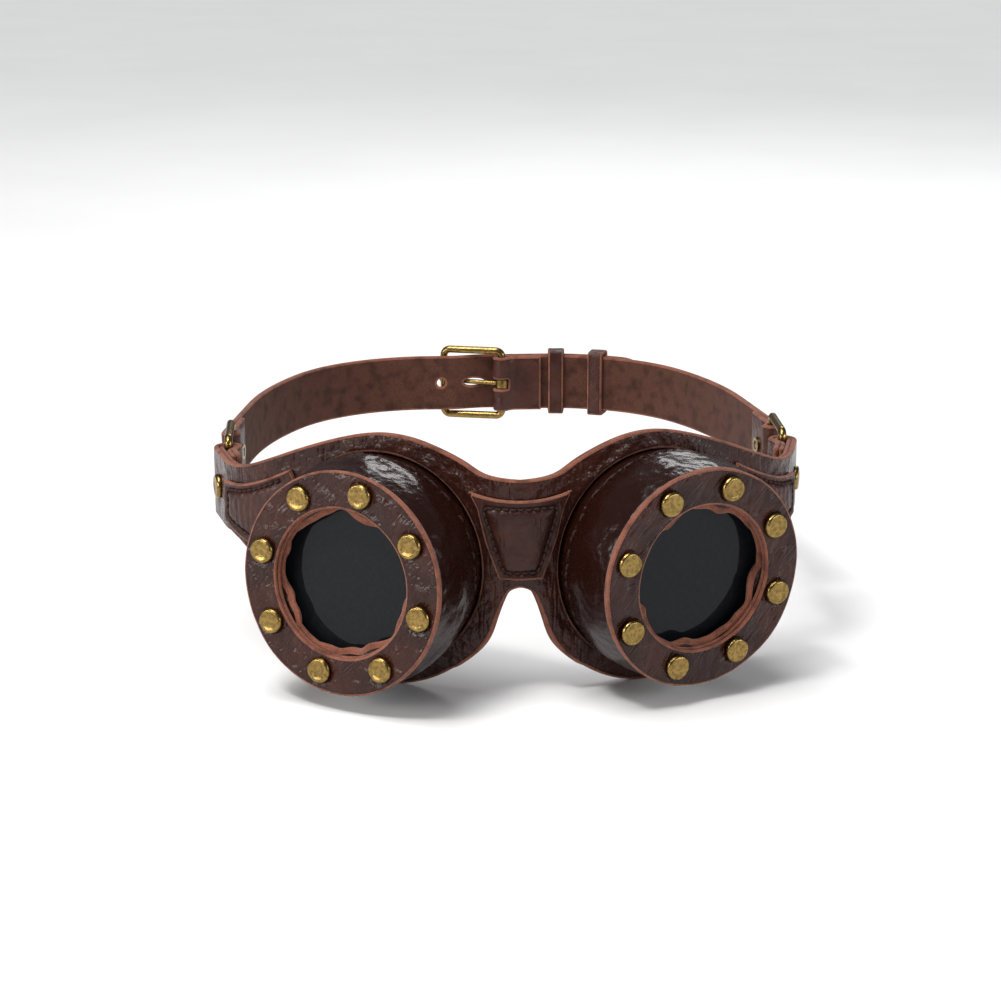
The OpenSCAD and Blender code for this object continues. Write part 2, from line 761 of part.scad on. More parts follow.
BUCKLE_HALF_H = 11.3 + wire_r;
module buckle_frame() {
    color(BRASS)
        translate([HEEL_BAR[0], HEEL_BAR[1], tab_mid])
            rotate([0, 0, 90 - FRAME_TILT])
                wire_loop(buckle_len, BUCKLE_HALF_H);
}

module buckle_prong() {
    reach = buckle_len + 1.6;
    color(BRASS)
        difference() {
            union() {
                translate([HEEL_BAR[0], HEEL_BAR[1], tab_mid - PRONG_EYE_W / 2])
                    cylinder(r = PRONG_EYE_R, h = PRONG_EYE_W);
                prong_line(0) {
                    cylinder(r = prong_r, h = reach);
                    translate([0, 0, reach]) sphere(r = prong_r);
                }
            }
            translate([HEEL_BAR[0], HEEL_BAR[1], 0])
                cylinder(r = BORE_R, h = FAR / 2);
        }
}

// A closed leather loop round both halves of the strap, from one length to another
KEEPER_T = 1.6;
KEEPER_GAP = 0.3;
KEEPER_W = 6;
module keeper(s) {
    inner = back_r - strap_t - KEEPER_GAP;
    outer = back_r + TONGUE_OUT + KEEPER_GAP;
    high = strap_w / 2 + KEEPER_GAP;
    span = turned(KEEPER_W, back_r);
    translate([back_flat, STRAP_BACK - back_r, tab_mid])
        rotate([0, 0, 90 - turned(s - back_flat + KEEPER_W / 2, back_r)])
            rotate_extrude(angle = span)
                difference() {
                    translate([inner - KEEPER_T, -high - KEEPER_T])
                        square([outer - inner + 2 * KEEPER_T, 2 * (high + KEEPER_T)]);
                    translate([inner, -high])
                        square([outer - inner, 2 * high]);
                }
}

KEEPER_FIXED_S = 27;
KEEPER_SLIDING_S = 43;
module keeper_fixed() {
    color(LEATHER) keeper(KEEPER_FIXED_S);
}

module keeper_sliding() {
    color(LEATHER) keeper(KEEPER_SLIDING_S);
}

mask_outer();
mask_lining();
bridge_patch();
side_patch_left();
side_patch_right();
eyecup_left();
eyecup_right();
ring_front_left();
ring_front_right();
ring_back_left();
ring_back_right();
ring_rivets_left();
ring_rivets_right();
ring_rivet_backs_left();
ring_rivet_backs_right();
lens_left();
lens_right();
lens_gasket_left();
lens_gasket_right();
tab_rivets();
tab_rivet_backs();
link_ring_left();
link_ring_right();
strap_left();
strap_right();
strap_rivets();
strap_rivet_backs();
buckle_frame();
buckle_prong();
keeper_fixed();
keeper_sliding();
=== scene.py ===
# %% [markdown]
# # Riveted leather goggles, dressed in Blender
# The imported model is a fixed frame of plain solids. Each step below takes one piece of the real goggles and
# builds the mesh or the finish that the plain solid can't show: rolled cut edges, sewn grooves, thread,
# creases, dented rivet caps. All sizes are in millimetres and become metres in one place.

# %% Load the frame
import math
import bmesh
import bpy
import numpy as np
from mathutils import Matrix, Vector
from mathutils.geometry import delaunay_2d_cdt


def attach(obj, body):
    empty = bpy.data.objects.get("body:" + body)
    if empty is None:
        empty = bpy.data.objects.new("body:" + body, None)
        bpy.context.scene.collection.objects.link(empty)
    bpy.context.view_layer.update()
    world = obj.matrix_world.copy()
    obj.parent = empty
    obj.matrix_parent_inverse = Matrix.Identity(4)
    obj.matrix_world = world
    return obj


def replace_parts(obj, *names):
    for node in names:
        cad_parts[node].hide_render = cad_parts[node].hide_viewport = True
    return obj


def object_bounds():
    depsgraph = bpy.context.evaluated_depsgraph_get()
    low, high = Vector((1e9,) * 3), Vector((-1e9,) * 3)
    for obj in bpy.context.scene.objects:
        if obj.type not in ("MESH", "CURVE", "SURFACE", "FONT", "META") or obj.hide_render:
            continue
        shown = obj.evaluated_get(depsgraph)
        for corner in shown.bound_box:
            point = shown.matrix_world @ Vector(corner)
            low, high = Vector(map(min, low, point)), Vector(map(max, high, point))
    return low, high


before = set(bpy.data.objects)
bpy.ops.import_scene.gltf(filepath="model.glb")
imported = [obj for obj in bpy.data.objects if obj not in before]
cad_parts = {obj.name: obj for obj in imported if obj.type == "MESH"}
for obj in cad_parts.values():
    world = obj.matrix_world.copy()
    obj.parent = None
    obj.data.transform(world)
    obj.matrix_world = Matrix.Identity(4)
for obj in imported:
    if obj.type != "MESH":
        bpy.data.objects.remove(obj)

cad_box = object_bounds()

# %% [markdown]
# The picture is set first, because every later choice is judged in it. A lens of about 100 mm from a metre
# away gives the flat, calm perspective of a catalogue shot. The camera looks 15 degrees down and stands a
# little to the wearer's right.

# %% Camera
MM = 0.001
CAMERA_AT = (-52.0, -940.1, 250.1)
CAMERA_TO = (0, 0, -7.93)
LENS = 99.83
camera = bpy.data.objects.new("camera", bpy.data.cameras.new("camera"))
bpy.context.collection.objects.link(camera)
camera.data.lens = LENS
camera.data.sensor_width = 36
camera.data.dof.use_dof = False
camera.location = Vector(CAMERA_AT) * MM
aim = Vector(CAMERA_TO) - Vector(CAMERA_AT)
camera.rotation_euler = aim.to_track_quat("-Z", "Y").to_euler()
bpy.context.scene.camera = camera
print("camera", round(aim.length), "mm from the bridge")

# %% [markdown]
# The goggles stand on a plain pale floor. One wide plane is enough, because the camera looks down on it and
# never reaches its far edge.

# %% Floor
FLOOR_SIZE = 9000
floor_z = cad_box[0][2] / MM
half = FLOOR_SIZE / 2
floor_mesh = bpy.data.meshes.new("floor")
floor_mesh.from_pydata(
    [(x * MM, y * MM, floor_z * MM) for x, y in ((-half, -half), (half, -half), (half, half), (-half, half))],
    [], [(0, 1, 2, 3)])
floor = bpy.data.objects.new("floor", floor_mesh)
bpy.context.collection.objects.link(floor)
print("floor at", round(floor_z, 1), "mm")

# %% [markdown]
# Leather and brass show only what they mirror. Two wide, low boxes at the sides glint in the creases of the
# lens rings, a small high one draws the highlights on the eyecups, and one behind lights the strap. A broad
# ceiling light falls on everything, and a weak room light keeps the shade deep.

# %% Lights
def soft_box(name, at, to, size, power, colour=(1, 1, 1)):
    lamp = bpy.data.objects.new(name, bpy.data.lights.new(name, "AREA"))
    lamp.data.shape = "RECTANGLE"
    lamp.data.size = size[0] * MM
    lamp.data.size_y = size[1] * MM
    lamp.data.energy = power
    lamp.data.color = colour
    lamp.location = Vector(at) * MM
    lamp.rotation_euler = (Vector(to) - Vector(at)).to_track_quat("-Z", "Y").to_euler()
    bpy.context.collection.objects.link(lamp)


soft_box("box_left", (-960, -600, 330), (0, -90, 0), (800, 260), 7, (1, 0.98, 0.95))
soft_box("box_high_left", (-420, -520, 1050), (0, -90, 0), (300, 120), 5, (1, 0.985, 0.96))
soft_box("box_right", (950, -640, 330), (0, -90, 0), (800, 200), 5, (0.95, 0.97, 1))
soft_box("box_back", (250, 900, 700), (0, 0, 0), (500, 300), 3)
sun = bpy.data.objects.new("ceiling", bpy.data.lights.new("ceiling", "SUN"))
sun.data.energy = 2.2
sun.data.angle = math.radians(38)
sun.rotation_euler = (math.radians(9), math.radians(-14), 0)
bpy.context.collection.objects.link(sun)
world = bpy.data.worlds.new("room")
bpy.context.scene.world = world
world.use_nodes = True
background = world.node_tree.nodes["Background"]
background.inputs["Color"].default_value = (0.9, 0.92, 0.95, 1)
background.inputs["Strength"].default_value = 0.16
bpy.context.scene.view_settings.view_transform = "Standard"

# %% [markdown]
# The mask is one long strip that bends over the nose, stays flat under each eye, bends at the temple and
# ends in a tab that folds round a brass bar. If that strip is drawn flat, as a leather worker cuts it, then
# every outline is simple. The next cells give the strip's plan curve, with the sizes of the solid part. A
# name that starts with S_ is a length along the mask, measured from the nose.

# %% The mask's plan curve
LEATHER = 1.7
BRIDGE_FRONT, BRIDGE_R, EYE_DEGREES = 114.5, 24.7, 26
EYE_YAW = math.radians(EYE_DEGREES)
PANEL_IN, PANEL_OUT, TEMPLE_R, TAB_YAW, TAB_LEN = 36, 34, 38, math.radians(77), 16.1
TAB_MID, TAB_H = 11.6, 23.2
BAR_BORE = 1.45
S_NOSE = BRIDGE_R * EYE_YAW
S_EYE = S_NOSE + PANEL_IN
S_PANEL = S_EYE + PANEL_OUT
S_TEMPLE = S_PANEL + TEMPLE_R * (TAB_YAW - EYE_YAW)
S_BAR = S_TEMPLE + TAB_LEN
TAIL_RAMP, TAB_TAIL, TAIL_DROP = 4.6, 13.5, 2 * BAR_BORE - 0.1
FOLD_R = 2 * LEATHER + BAR_BORE


def walk(legs, start):
    """A plan curve from legs of (length, turn): the lengths, places and directions along it."""
    marks, x, y, heads, head = [0.0], [start[0]], [start[1]], [0], 0
    for length, turn in legs:
        steps = max(2, int(abs(turn) / 0.04) + int(length / 4))
        for i in range(steps):
            head_mid = head + turn * (i + 0.5) / steps
            x.append(x[-1] + length / steps * math.cos(head_mid))
            y.append(y[-1] + length / steps * math.sin(head_mid))
            marks.append(marks[-1] + length / steps)
            heads.append(head + turn * (i + 1) / steps)
        head += turn
    return np.array(marks), np.array(x), np.array(y), np.array(heads)


def on_curve(curve, s, out):
    """Points at length s on a plan curve, moved out to the right-hand side of its direction."""
    marks, x, y, heads = curve
    head = np.interp(s, marks, heads)
    return (np.interp(s, marks, x) + out * np.sin(head), np.interp(s, marks, y) - out * np.cos(head))


mask_curve = walk(
    [(S_NOSE, EYE_YAW), (PANEL_IN + PANEL_OUT, 0), (S_TEMPLE - S_PANEL, TAB_YAW - EYE_YAW), (TAB_LEN, 0)],
    (0, -BRIDGE_FRONT))
print("mask half length", round(S_BAR, 1), "mm, ends at", [round(float(v[-1]), 2) for v in mask_curve[1:3]])

# %% [markdown]
# Past the bar the leather comes back inside the tab as a tail. The fold is a half circle whose radius shrinks
# from the outer layer to the lining, so a point's height in the leather sets its radius there.

# %% Lay a point of flat leather on the mask
TAIL_TURN = math.pi * FOLD_R


def fold_point(past, out, fold_r, tail_drop):
    """Leather round a bar: x beyond the bar's centre and y inward from it, as the leather's end sees them."""
    turn = math.pi * fold_r
    angle, radius, along = past / fold_r, fold_r + out, np.maximum(past - turn, 0)
    slope = np.clip(along / TAIL_RAMP, 0, 1)
    slope = slope * slope * (3 - 2 * slope)
    return (np.where(past < turn, radius * np.sin(angle), -along),
            np.where(past < turn, -radius * np.cos(angle), radius - tail_drop * slope))


BAR_X, BAR_Y = on_curve(mask_curve, S_BAR, -FOLD_R)


def on_mask(s, z, out):
    """Flat leather (s along the mask from the nose, z up) to its place in space, out from the outer face."""
    far = np.abs(s)
    x, y = on_curve(mask_curve, np.minimum(far, S_BAR), out)
    tail_x, tail_y = fold_point(np.maximum(far - S_BAR, 0), out, FOLD_R, TAIL_DROP)
    c, d = math.cos(TAB_YAW), math.sin(TAB_YAW)
    folded = far > S_BAR
    x = np.where(folded, BAR_X + c * tail_x - d * tail_y, x)
    y = np.where(folded, BAR_Y + d * tail_x + c * tail_y, y)
    return np.stack([np.where(s < 0, -x, x), y, z + 0 * x], 1)


print("front bar at", round(float(BAR_X), 2), round(float(BAR_Y), 2), "mm")

# %% [markdown]
# Leather pieces are cut from a flat hide, so each starts as a flat outline with holes. A constrained
# triangulation fills it with even triangles, and keeps the cut edge exact. The edge is then given real
# thickness with a crown, because the thick rolled terracotta edge is the first thing one sees on the goggles.

# %% Cut flat leather from an outline
CHUNK = 4000  # points measured at once, to spare memory
ROW_STEP, EDGE_CLEAR = 0.866, 0.62  # between rows of the grid, and from it to the cut edge, in steps


def lengths_along(path):
    return np.concatenate([[0], np.cumsum(np.linalg.norm(np.diff(path, axis=0), axis=1))])


def resample(loop, step, closed=True):
    """Even steps along a polyline, so that the cut edge has points of one spacing."""
    loop = np.asarray(loop, float)
    if closed:
        loop = np.vstack([loop, loop[:1]])
    run = lengths_along(loop)
    count = max(8, int(round(run[-1] / step)))
    marks = np.linspace(0, run[-1], count + (0 if closed else 1), endpoint=not closed)
    return np.stack([np.interp(marks, run, loop[:, k]) for k in (0, 1)], 1)


def soften(loop, rounds):
    """Rounds the corners of a closed loop a little, as a knife does."""
    for _ in range(rounds):
        loop = loop / 2 + (np.roll(loop, 1, 0) + np.roll(loop, -1, 0)) / 4
    return loop


def area(loop):
    x, y = loop[:, 0], loop[:, 1]
    return (x * np.roll(y, -1) - np.roll(x, -1) * y).sum() / 2


def inward(loop):
    """The direction into the material at each point of a loop (outer loops turn left, holes turn right)."""
    along = np.roll(loop, -1, 0) - np.roll(loop, 1, 0)
    along /= np.linalg.norm(along, axis=1)[:, None] + 1e-9
    return np.stack([-along[:, 1], along[:, 0]], 1)


def edge_distance(points, loops):
    """Distance from each point to the nearest cut edge."""
    best = np.full(len(points), 1e9)
    for loop in loops:
        a, b = loop, np.roll(loop, -1, 0)
        d = b - a
        long2 = (d * d).sum(1) + 1e-12
        for i in range(0, len(points), CHUNK):
            p = points[i:i + CHUNK, None, :]
            t = np.clip(((p - a) * d).sum(2) / long2, 0, 1)
            gap = np.sqrt((((p - a) - t[:, :, None] * d) ** 2).sum(2)).min(1)
            best[i:i + CHUNK] = np.minimum(best[i:i + CHUNK], gap)
    return best


def is_inside(points, loops):
    """Whether each point lies within the outline and off its holes."""
    crossings = np.zeros(len(points), int)
    for loop in loops:
        a, b = loop, np.roll(loop, -1, 0)
        for i in range(0, len(points), CHUNK):
            x, y = points[i:i + CHUNK, 0, None], points[i:i + CHUNK, 1, None]
            cuts = (a[:, 1] > y) != (b[:, 1] > y)
            at = (b[:, 0] - a[:, 0]) * (y - a[:, 1]) / (b[:, 1] - a[:, 1] + 1e-12) + a[:, 0]
            crossings[i:i + CHUNK] += (cuts & (x < at)).sum(1)
    return crossings % 2 == 1


def fill(loops, step):
    """Even triangles inside the loops. Points of the loops come first, in order."""
    low, high = loops[0].min(0), loops[0].max(0)
    rows = np.arange(low[1], high[1], step * ROW_STEP)
    grid = np.array([(x + (k % 2) * step / 2, y) for k, y in enumerate(rows)
                     for x in np.arange(low[0], high[0], step)])
    grid = grid[is_inside(grid, loops)]
    grid = grid[edge_distance(grid, loops) > EDGE_CLEAR * step]
    points = np.vstack(loops + [grid])
    edges, start = [], 0
    for loop in loops:
        n = len(loop)
        edges += [(start + i, start + (i + 1) % n) for i in range(n)]
        start += n
    made = delaunay_2d_cdt([Vector(p) for p in points], edges, [], 0, 1e-5)
    where = {k: old[0] for k, old in enumerate(made[3]) if old}
    faces = np.array([[where[i] for i in f] for f in made[2] if all(i in where for i in f)])
    middle = points[faces].mean(1)
    return points, faces[is_inside(middle, loops)]


# %% [markdown]
# One helper turns any flat cut into a body of leather: a front face that may be raised or grooved, a back
# face, and a crowned cut edge between them with its own raw finish. The distance to the cut edge is kept as
# an attribute, so that finishes can darken the leather next to it.

# %% Give flat leather its body
FACE, EDGE, BACK = 0, 1, 2  # the places of a leather piece's three finishes


def build(name, points, faces, finishes, finish_of, body, marks=None):
    """A mesh object from points in millimetres that rides on a CAD body."""
    mesh = bpy.data.meshes.new(name)
    mesh.from_pydata((np.asarray(points) * MM).tolist(), [], [list(map(int, f)) for f in faces])
    for finish in finishes:
        mesh.materials.append(finish)
    mesh.polygons.foreach_set("material_index", np.asarray(finish_of, np.int32))
    mesh.polygons.foreach_set("use_smooth", np.full(len(mesh.polygons), True))
    if marks is not None:
        edge_mm = mesh.attributes.new("edge_mm", "FLOAT", "POINT")
        edge_mm.data.foreach_set("value", np.asarray(marks, np.float32))
    mesh.update()
    piece = bpy.data.objects.new(name, mesh)
    bpy.context.collection.objects.link(piece)
    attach(piece, body)
    return piece


def leather_piece(name, loops, place, thick, top, finishes, body,
                  step=1.1, crown=0.7, relief=None, follow=0.6):
    """Leather cut to loops, laid by place(u, v, out), from height top down to top - thick. The relief raises
    the front, and the back follows it by a share."""
    loops = [loop if (area(loop) > 0) == (k == 0) else loop[::-1] for k, loop in enumerate(loops)]
    crown = min(crown, thick / 2 - 0.02)
    inner = [loop + inward(loop) * crown for loop in loops]
    flat, tris = fill(inner, step)
    gap = edge_distance(flat, loops)
    lift = relief(flat[:, 0], flat[:, 1], gap) if relief else np.zeros(len(flat))
    sink = lift * follow
    front = place(flat[:, 0], flat[:, 1], top + lift)
    back = place(flat[:, 0], flat[:, 1], top - thick + sink)
    points, marks = [front, back], [gap, gap]
    faces = tris.tolist() + (tris[:, ::-1] + len(flat)).tolist()
    finish_of = [FACE] * len(tris) + [BACK] * len(tris)
    base, start = 2 * len(flat), 0
    angles = np.linspace(0, math.pi / 2, 5)[1:]
    straight = thick - 2 * crown
    profile = [(crown * math.sin(a), crown * (1 - math.cos(a))) for a in angles]
    profile += [(crown * math.sin(a), thick - crown * (1 - math.cos(a)))
                for a in (angles[:-1] if straight < 0.05 else angles)[::-1]]
    for loop, ring in zip(loops, inner):
        n = len(loop)
        normal = inward(loop)
        up, down = lift[start:start + n], sink[start:start + n]
        rows = [np.arange(start, start + n)]
        for proud, drop in profile:
            at = ring - normal * proud
            share = drop / thick
            points.append(place(at[:, 0], at[:, 1], top - drop + up * (1 - share) + down * share))
            marks.append(np.zeros(n))
            rows.append(np.arange(base, base + n))
            base += n
        rows.append(np.arange(start, start + n) + len(flat))
        for a, b in zip(rows[:-1], rows[1:]):
            c, d = np.roll(a, -1), np.roll(b, -1)
            faces += np.stack([a, b, d, c], 1).tolist()
            finish_of += [EDGE] * n
        start += n
    return build(name, np.vstack(points), faces, finishes, finish_of, body, marks=np.concatenate(marks))

# %% [markdown]
# Finishes come from noise patterns read in the object's own metres, so a grain of half a millimetre stays
# half a millimetre on every piece. Small helpers wire the nodes; each finish then reads like a recipe.

# %% Node helper
def new_finish(name):
    finish = bpy.data.materials.new(name)
    finish.use_nodes = True
    tree = finish.node_tree
    return finish, tree, tree.nodes["Principled BSDF"]


def plug(tree, node, sockets):
    """Fills sockets of a node, each with a value or with another node's output."""
    for key, value in sockets.items():
        if isinstance(value, bpy.types.NodeSocket):
            tree.links.new(value, node.inputs[key])
        else:
            node.inputs[key].default_value = value


def add(tree, kind, settings=None, **sockets):
    node = tree.nodes.new("ShaderNode" + kind)
    for key, value in (settings or {}).items():
        setattr(node, key, value)
    plug(tree, node, sockets)
    return node


def calculate(tree, operation, *values):
    node = add(tree, "Math", {"operation": operation})
    plug(tree, node, dict(enumerate(values)))
    return node.outputs[0]


def place_in_mm(tree, scale=(1, 1, 1), turn=(0, 0, 0)):
    where = add(tree, "TexCoord").outputs["Object"]
    spin = add(tree, "Mapping", Vector=where, Rotation=turn)
    return add(tree, "Mapping", Vector=spin.outputs[0], Scale=[1000 * s for s in scale]).outputs[0]


def noise(tree, where, scale, detail, rough=0.5):
    return add(tree, "TexNoise", Vector=where, Scale=scale, Detail=detail, Roughness=rough).outputs[0]


def ramp(tree, value, low, high):
    """A smooth 0 to 1 between two values."""
    smooth = {"interpolation_type": "SMOOTHSTEP"}
    return add(tree, "MapRange", smooth, Value=value, **{"From Min": low, "From Max": high}).outputs[0]


def between(tree, share, low, high):
    """A share from 0 to 1 laid out between two values."""
    return add(tree, "MapRange", Value=share, **{"To Min": low, "To Max": high}).outputs[0]


def bump(tree, height, depth_mm, strength=1.0):
    return add(tree, "Bump", Height=height, Strength=strength, Distance=depth_mm * MM).outputs[0]


def times(colour, factor):
    return tuple(c * factor for c in colour)


def blend_colours(tree, share, a, b):
    """Colour a where the share is 0 and colour b where it is 1."""
    node = add(tree, "Mix", {"data_type": "RGBA"})
    a, b = (c if isinstance(c, bpy.types.NodeSocket) else (*c, 1) for c in (a, b))
    plug(tree, node, {0: share, 6: a, 7: b})
    return node.outputs[2]


# %% [markdown]
# The leather is dark red-brown under a glaze. Its grain is a fine net of cells, and where the hide was pulled
# over a shape it breaks into longer creases across the pull. Both are height: the grey lilac sheen in the
# picture is the soft boxes mirrored in thousands of tiny slopes. The deepest creases also get painted shade.

# %% Leather finish
def make_leather(name, dark, light, crease, crease_turn, crease_mm, gloss, waves, grain=1.0):
    """crease and waves are the depths of folds and swells, and crease_mm is the folds' size, all in mm."""
    finish, tree, shader = new_finish(name)
    where = place_in_mm(tree)
    cells = add(tree, "TexVoronoi", {"feature": "DISTANCE_TO_EDGE"}, Vector=where, Scale=0.75)
    fine = noise(tree, where, 1.1, 3.0, 0.6)
    swells = noise(tree, where, 0.26, 1.0, 0.45)
    broad = noise(tree, where, 0.07, 3.0)
    pulled = place_in_mm(tree, tuple(1 / c for c in crease_mm), crease_turn)
    folds = add(tree, "TexNoise", {"noise_type": "RIDGED_MULTIFRACTAL"}, Vector=pulled, Scale=1.0,
                Detail=2.0, Roughness=0.5, Distortion=0.3).outputs[0]
    height = calculate(tree, "MULTIPLY", folds, -crease)
    for layer, depth in ((ramp(tree, cells.outputs["Distance"], 0.0, 0.3), 0.045 * grain),
                         (fine, 0.08 * grain), (swells, waves)):
        height = calculate(tree, "MULTIPLY_ADD", layer, depth, height)
    colour = blend_colours(tree, ramp(tree, broad, 0.36, 0.62), dark, light)
    # painted shade: the colour is darker in the deep creases, where shade would fall
    colour = blend_colours(tree, ramp(tree, folds, 0.9, 1.7), colour, times(dark, 0.45))
    edge = add(tree, "Attribute", {"attribute_name": "edge_mm"}).outputs["Fac"]
    # darker within about 1.6 mm of the cut edge
    colour = blend_colours(tree, ramp(tree, edge, 0.25, 1.6), times(dark, 0.5), colour)
    plug(tree, shader, {
        "Base Color": colour, "Roughness": between(tree, fine, gloss - 0.08, gloss + 0.1),
        "Normal": bump(tree, height, 1.0), "Specular IOR Level": 0.26})
    return finish


mask_leather = make_leather("mask_leather", (0.025, 0.0066, 0.0040), (0.046, 0.0128, 0.0080), 0.34,
                            (0, 0, 0), (1.4, 1.4, 9.0), 0.25, 1.0)
patch_leather = make_leather("patch_leather", (0.028, 0.0085, 0.0060), (0.050, 0.0165, 0.0120), 0.2,
                             (0, 0, 0), (1.3, 1.3, 6.0), 0.36, 0.6)
cup_leather = make_leather("cup_leather", (0.026, 0.0062, 0.0037), (0.048, 0.0118, 0.0073), 0.14,
                           (0, 0.5, 0), (5.0, 5.0, 5.0), 0.24, 0.6, 0.4)
ring_leather = make_leather("ring_leather", (0.020, 0.0052, 0.0032), (0.038, 0.0100, 0.0063), 0.5,
                            (0.3, 0.75, 0.2), (14.0, 1.5, 1.5), 0.25, 0.75, 0.9)
strap_leather = make_leather("strap_leather", (0.036, 0.0105, 0.0068), (0.058, 0.0185, 0.0125), 0.06,
                             (0, 0, 0), (1.6, 1.6, 6.0), 0.36, 0.7)
print("leather finishes:", [m.name for m in bpy.data.materials if m.name.endswith("leather")])

# %% [markdown]
# Where leather is cut, its raw terracotta flesh shows: matt, fibrous, with a darker line where two layers
# meet. The same finish, darker, covers the unseen flesh side.

# %% Raw leather, thread, brass, lens and rubber
def make_suede(name, dark, light, nap):
    finish, tree, shader = new_finish(name)
    where = place_in_mm(tree)
    fibre = noise(tree, where, 2.2, 6.0, 0.75)
    blotch = noise(tree, where, 0.22, 3.0)
    colour = blend_colours(tree, ramp(tree, fibre, 0.32, 0.68), dark, light)
    colour = blend_colours(tree, ramp(tree, blotch, 0.42, 0.75), colour, times(dark, 0.7))
    plug(tree, shader, {
        "Base Color": colour, "Normal": bump(tree, fibre, 0.3), "Roughness": 0.92,
        "Specular IOR Level": 0.2, "Sheen Weight": nap, "Sheen Roughness": 0.5})
    return finish


def make_thread():
    finish, tree, shader = new_finish("thread")
    where = place_in_mm(tree, turn=(0.6, 0.5, 0.8))
    twist = add(tree, "TexWave", Vector=where, Scale=1.1, Distortion=2.0, Detail=2.0).outputs["Fac"]
    plug(tree, shader, {
        "Base Color": blend_colours(tree, twist, (0.016, 0.007, 0.005), (0.055, 0.026, 0.019)),
        "Normal": bump(tree, twist, 0.1, 0.8), "Roughness": 0.55, "Specular IOR Level": 0.2})
    return finish


def make_brass(name, bright, dull, mottle):
    finish, tree, shader = new_finish(name)
    where = place_in_mm(tree)
    cloud, speck = noise(tree, where, 0.9, 6.0, 0.7), noise(tree, where, 4.5, 4.0, 0.7)
    colour = blend_colours(tree, ramp(tree, cloud, 0.40, 0.62), bright, dull)
    colour = blend_colours(tree, ramp(tree, speck, 0.56, 0.72), colour, times(dull, 0.6))
    plug(tree, shader, {
        "Base Color": colour, "Roughness": between(tree, speck, 0.16, 0.16 + mottle),
        "Normal": bump(tree, cloud, 0.12, 0.6), "Metallic": 1.0})
    return finish


def make_dark(name, tint, specular, rough, spread, bump_mm=0):
    """A near-black finish, glossy for the lens and matt for the rubber, with dust in its roughness."""
    finish, tree, shader = new_finish(name)
    dust = noise(tree, place_in_mm(tree), 0.8, 6.0, 0.7)
    plug(tree, shader, {
        "Base Color": blend_colours(tree, ramp(tree, dust, 0.3, 0.8), tint, times(tint, 1.7)),
        "Roughness": between(tree, dust, rough, rough + spread), "Specular IOR Level": specular})
    if bump_mm:
        plug(tree, shader, {"Normal": bump(tree, dust, bump_mm)})
    return finish


suede = make_suede("cut_edge", (0.145, 0.047, 0.027), (0.30, 0.108, 0.064), 0.15)
flesh = make_suede("flesh_side", (0.060, 0.022, 0.014), (0.105, 0.041, 0.026), 0.05)
thread = make_thread()
brass = make_brass("antique_brass", (0.31, 0.205, 0.066), (0.16, 0.105, 0.034), 0.2)
lens_finish = make_dark("smoked_lens", (0.006, 0.0065, 0.008), 0.16, 0.02, 0.05)
rubber = make_dark("gasket_rubber", (0.008, 0.008, 0.008), 0.5, 0.6, 0.2, 0.15)
paper, tree, shader = new_finish("floor_paper")
tone = noise(tree, place_in_mm(tree), 0.01, 3.0)
plug(tree, shader, {"Base Color": blend_colours(tree, tone, (0.80, 0.80, 0.80), (0.86, 0.86, 0.86)),
                    "Roughness": 0.95})
floor.data.materials.append(paper)
print("finishes:", len(bpy.data.materials))

# %% [markdown]
# The mask's outline has a brow line, a nose arch, round lobes under the eyes and the tabs. The points are
# the same as in the solid part. A smooth curve through a few points is easier to change than a long list.

# %% The mask's outline
TOP_EDGE = [(0, 29.7), (8, 30.3), (13.5, 31.4), (20, 34.8), (28, 37.9), (36, 40.1), (44, 41), (52, 40.4),
            (62, 37.9), (74, 33.8), (86, 29), (96, 25.3), (104, 23.6)]
NOSE_EDGE = [(0, -4.9), (3.4, -6.2), (5.6, -10), (7.6, -15), (9.8, -20.8), (12.6, -25.2), (16.5, -29.2),
             (21, -32.8)]
TAB_EDGE = [(92, -7.6), (97, -3.6), (102, -1.2), (108, 0.2)]
TAB_FROM, LOW_R, EYE_HOLE_R = 114, 41.5, 34.6
S_END = S_BAR + TAIL_TURN + TAB_TAIL


def spline(points, steps=4):
    """A smooth curve through the points (Catmull-Rom)."""
    p = np.asarray(points, float)
    out = []
    for i in range(len(p) - 1):
        a, b, c, d = p[max(i - 1, 0)], p[i], p[i + 1], p[min(i + 2, len(p) - 1)]
        for t in np.arange(steps) / steps:
            out.append((2 * b + (c - a) * t + (2 * a - 5 * b + 4 * c - d) * t ** 2
                        + (3 * b - a - 3 * c + d) * t ** 3) / 2)
    return np.array(out + [p[-1]])


def polar(radius, angle, centre=(0, 0)):
    return np.stack([centre[0] + radius * np.cos(angle), centre[1] + radius * np.sin(angle)], 1)


def arc(radius, start, end, steps, centre=(S_EYE, 0)):
    return polar(radius, np.radians(np.linspace(start, end, steps)), centre)


def both_halves(half):
    """A closed outline from its right half, which starts and ends on the middle line."""
    other = half[::-1] * (-1, 1)
    return np.vstack([half, other[(other[:, 0] < -0.01)]])


tab_low, tab_top = TAB_MID - TAB_H / 2, TAB_MID + TAB_H / 2
half_mask = np.vstack([
    spline(TOP_EDGE), [(TAB_FROM, tab_top), (S_END, tab_top), (S_END, tab_low), (TAB_FROM, tab_low)],
    np.array(TAB_EDGE)[::-1], arc(LOW_R, -18, -126, 40), spline(NOSE_EDGE)[::-1]])
mask_loop = resample(both_halves(half_mask), 1.0)
print("mask outline:", len(mask_loop), "points")

# %% [markdown]
# Real leather is never flat: it swells and dips by a few tenths of a millimetre, and the highlights follow.
# Sums of slow sine waves with fixed directions give the same gentle surface on every run.

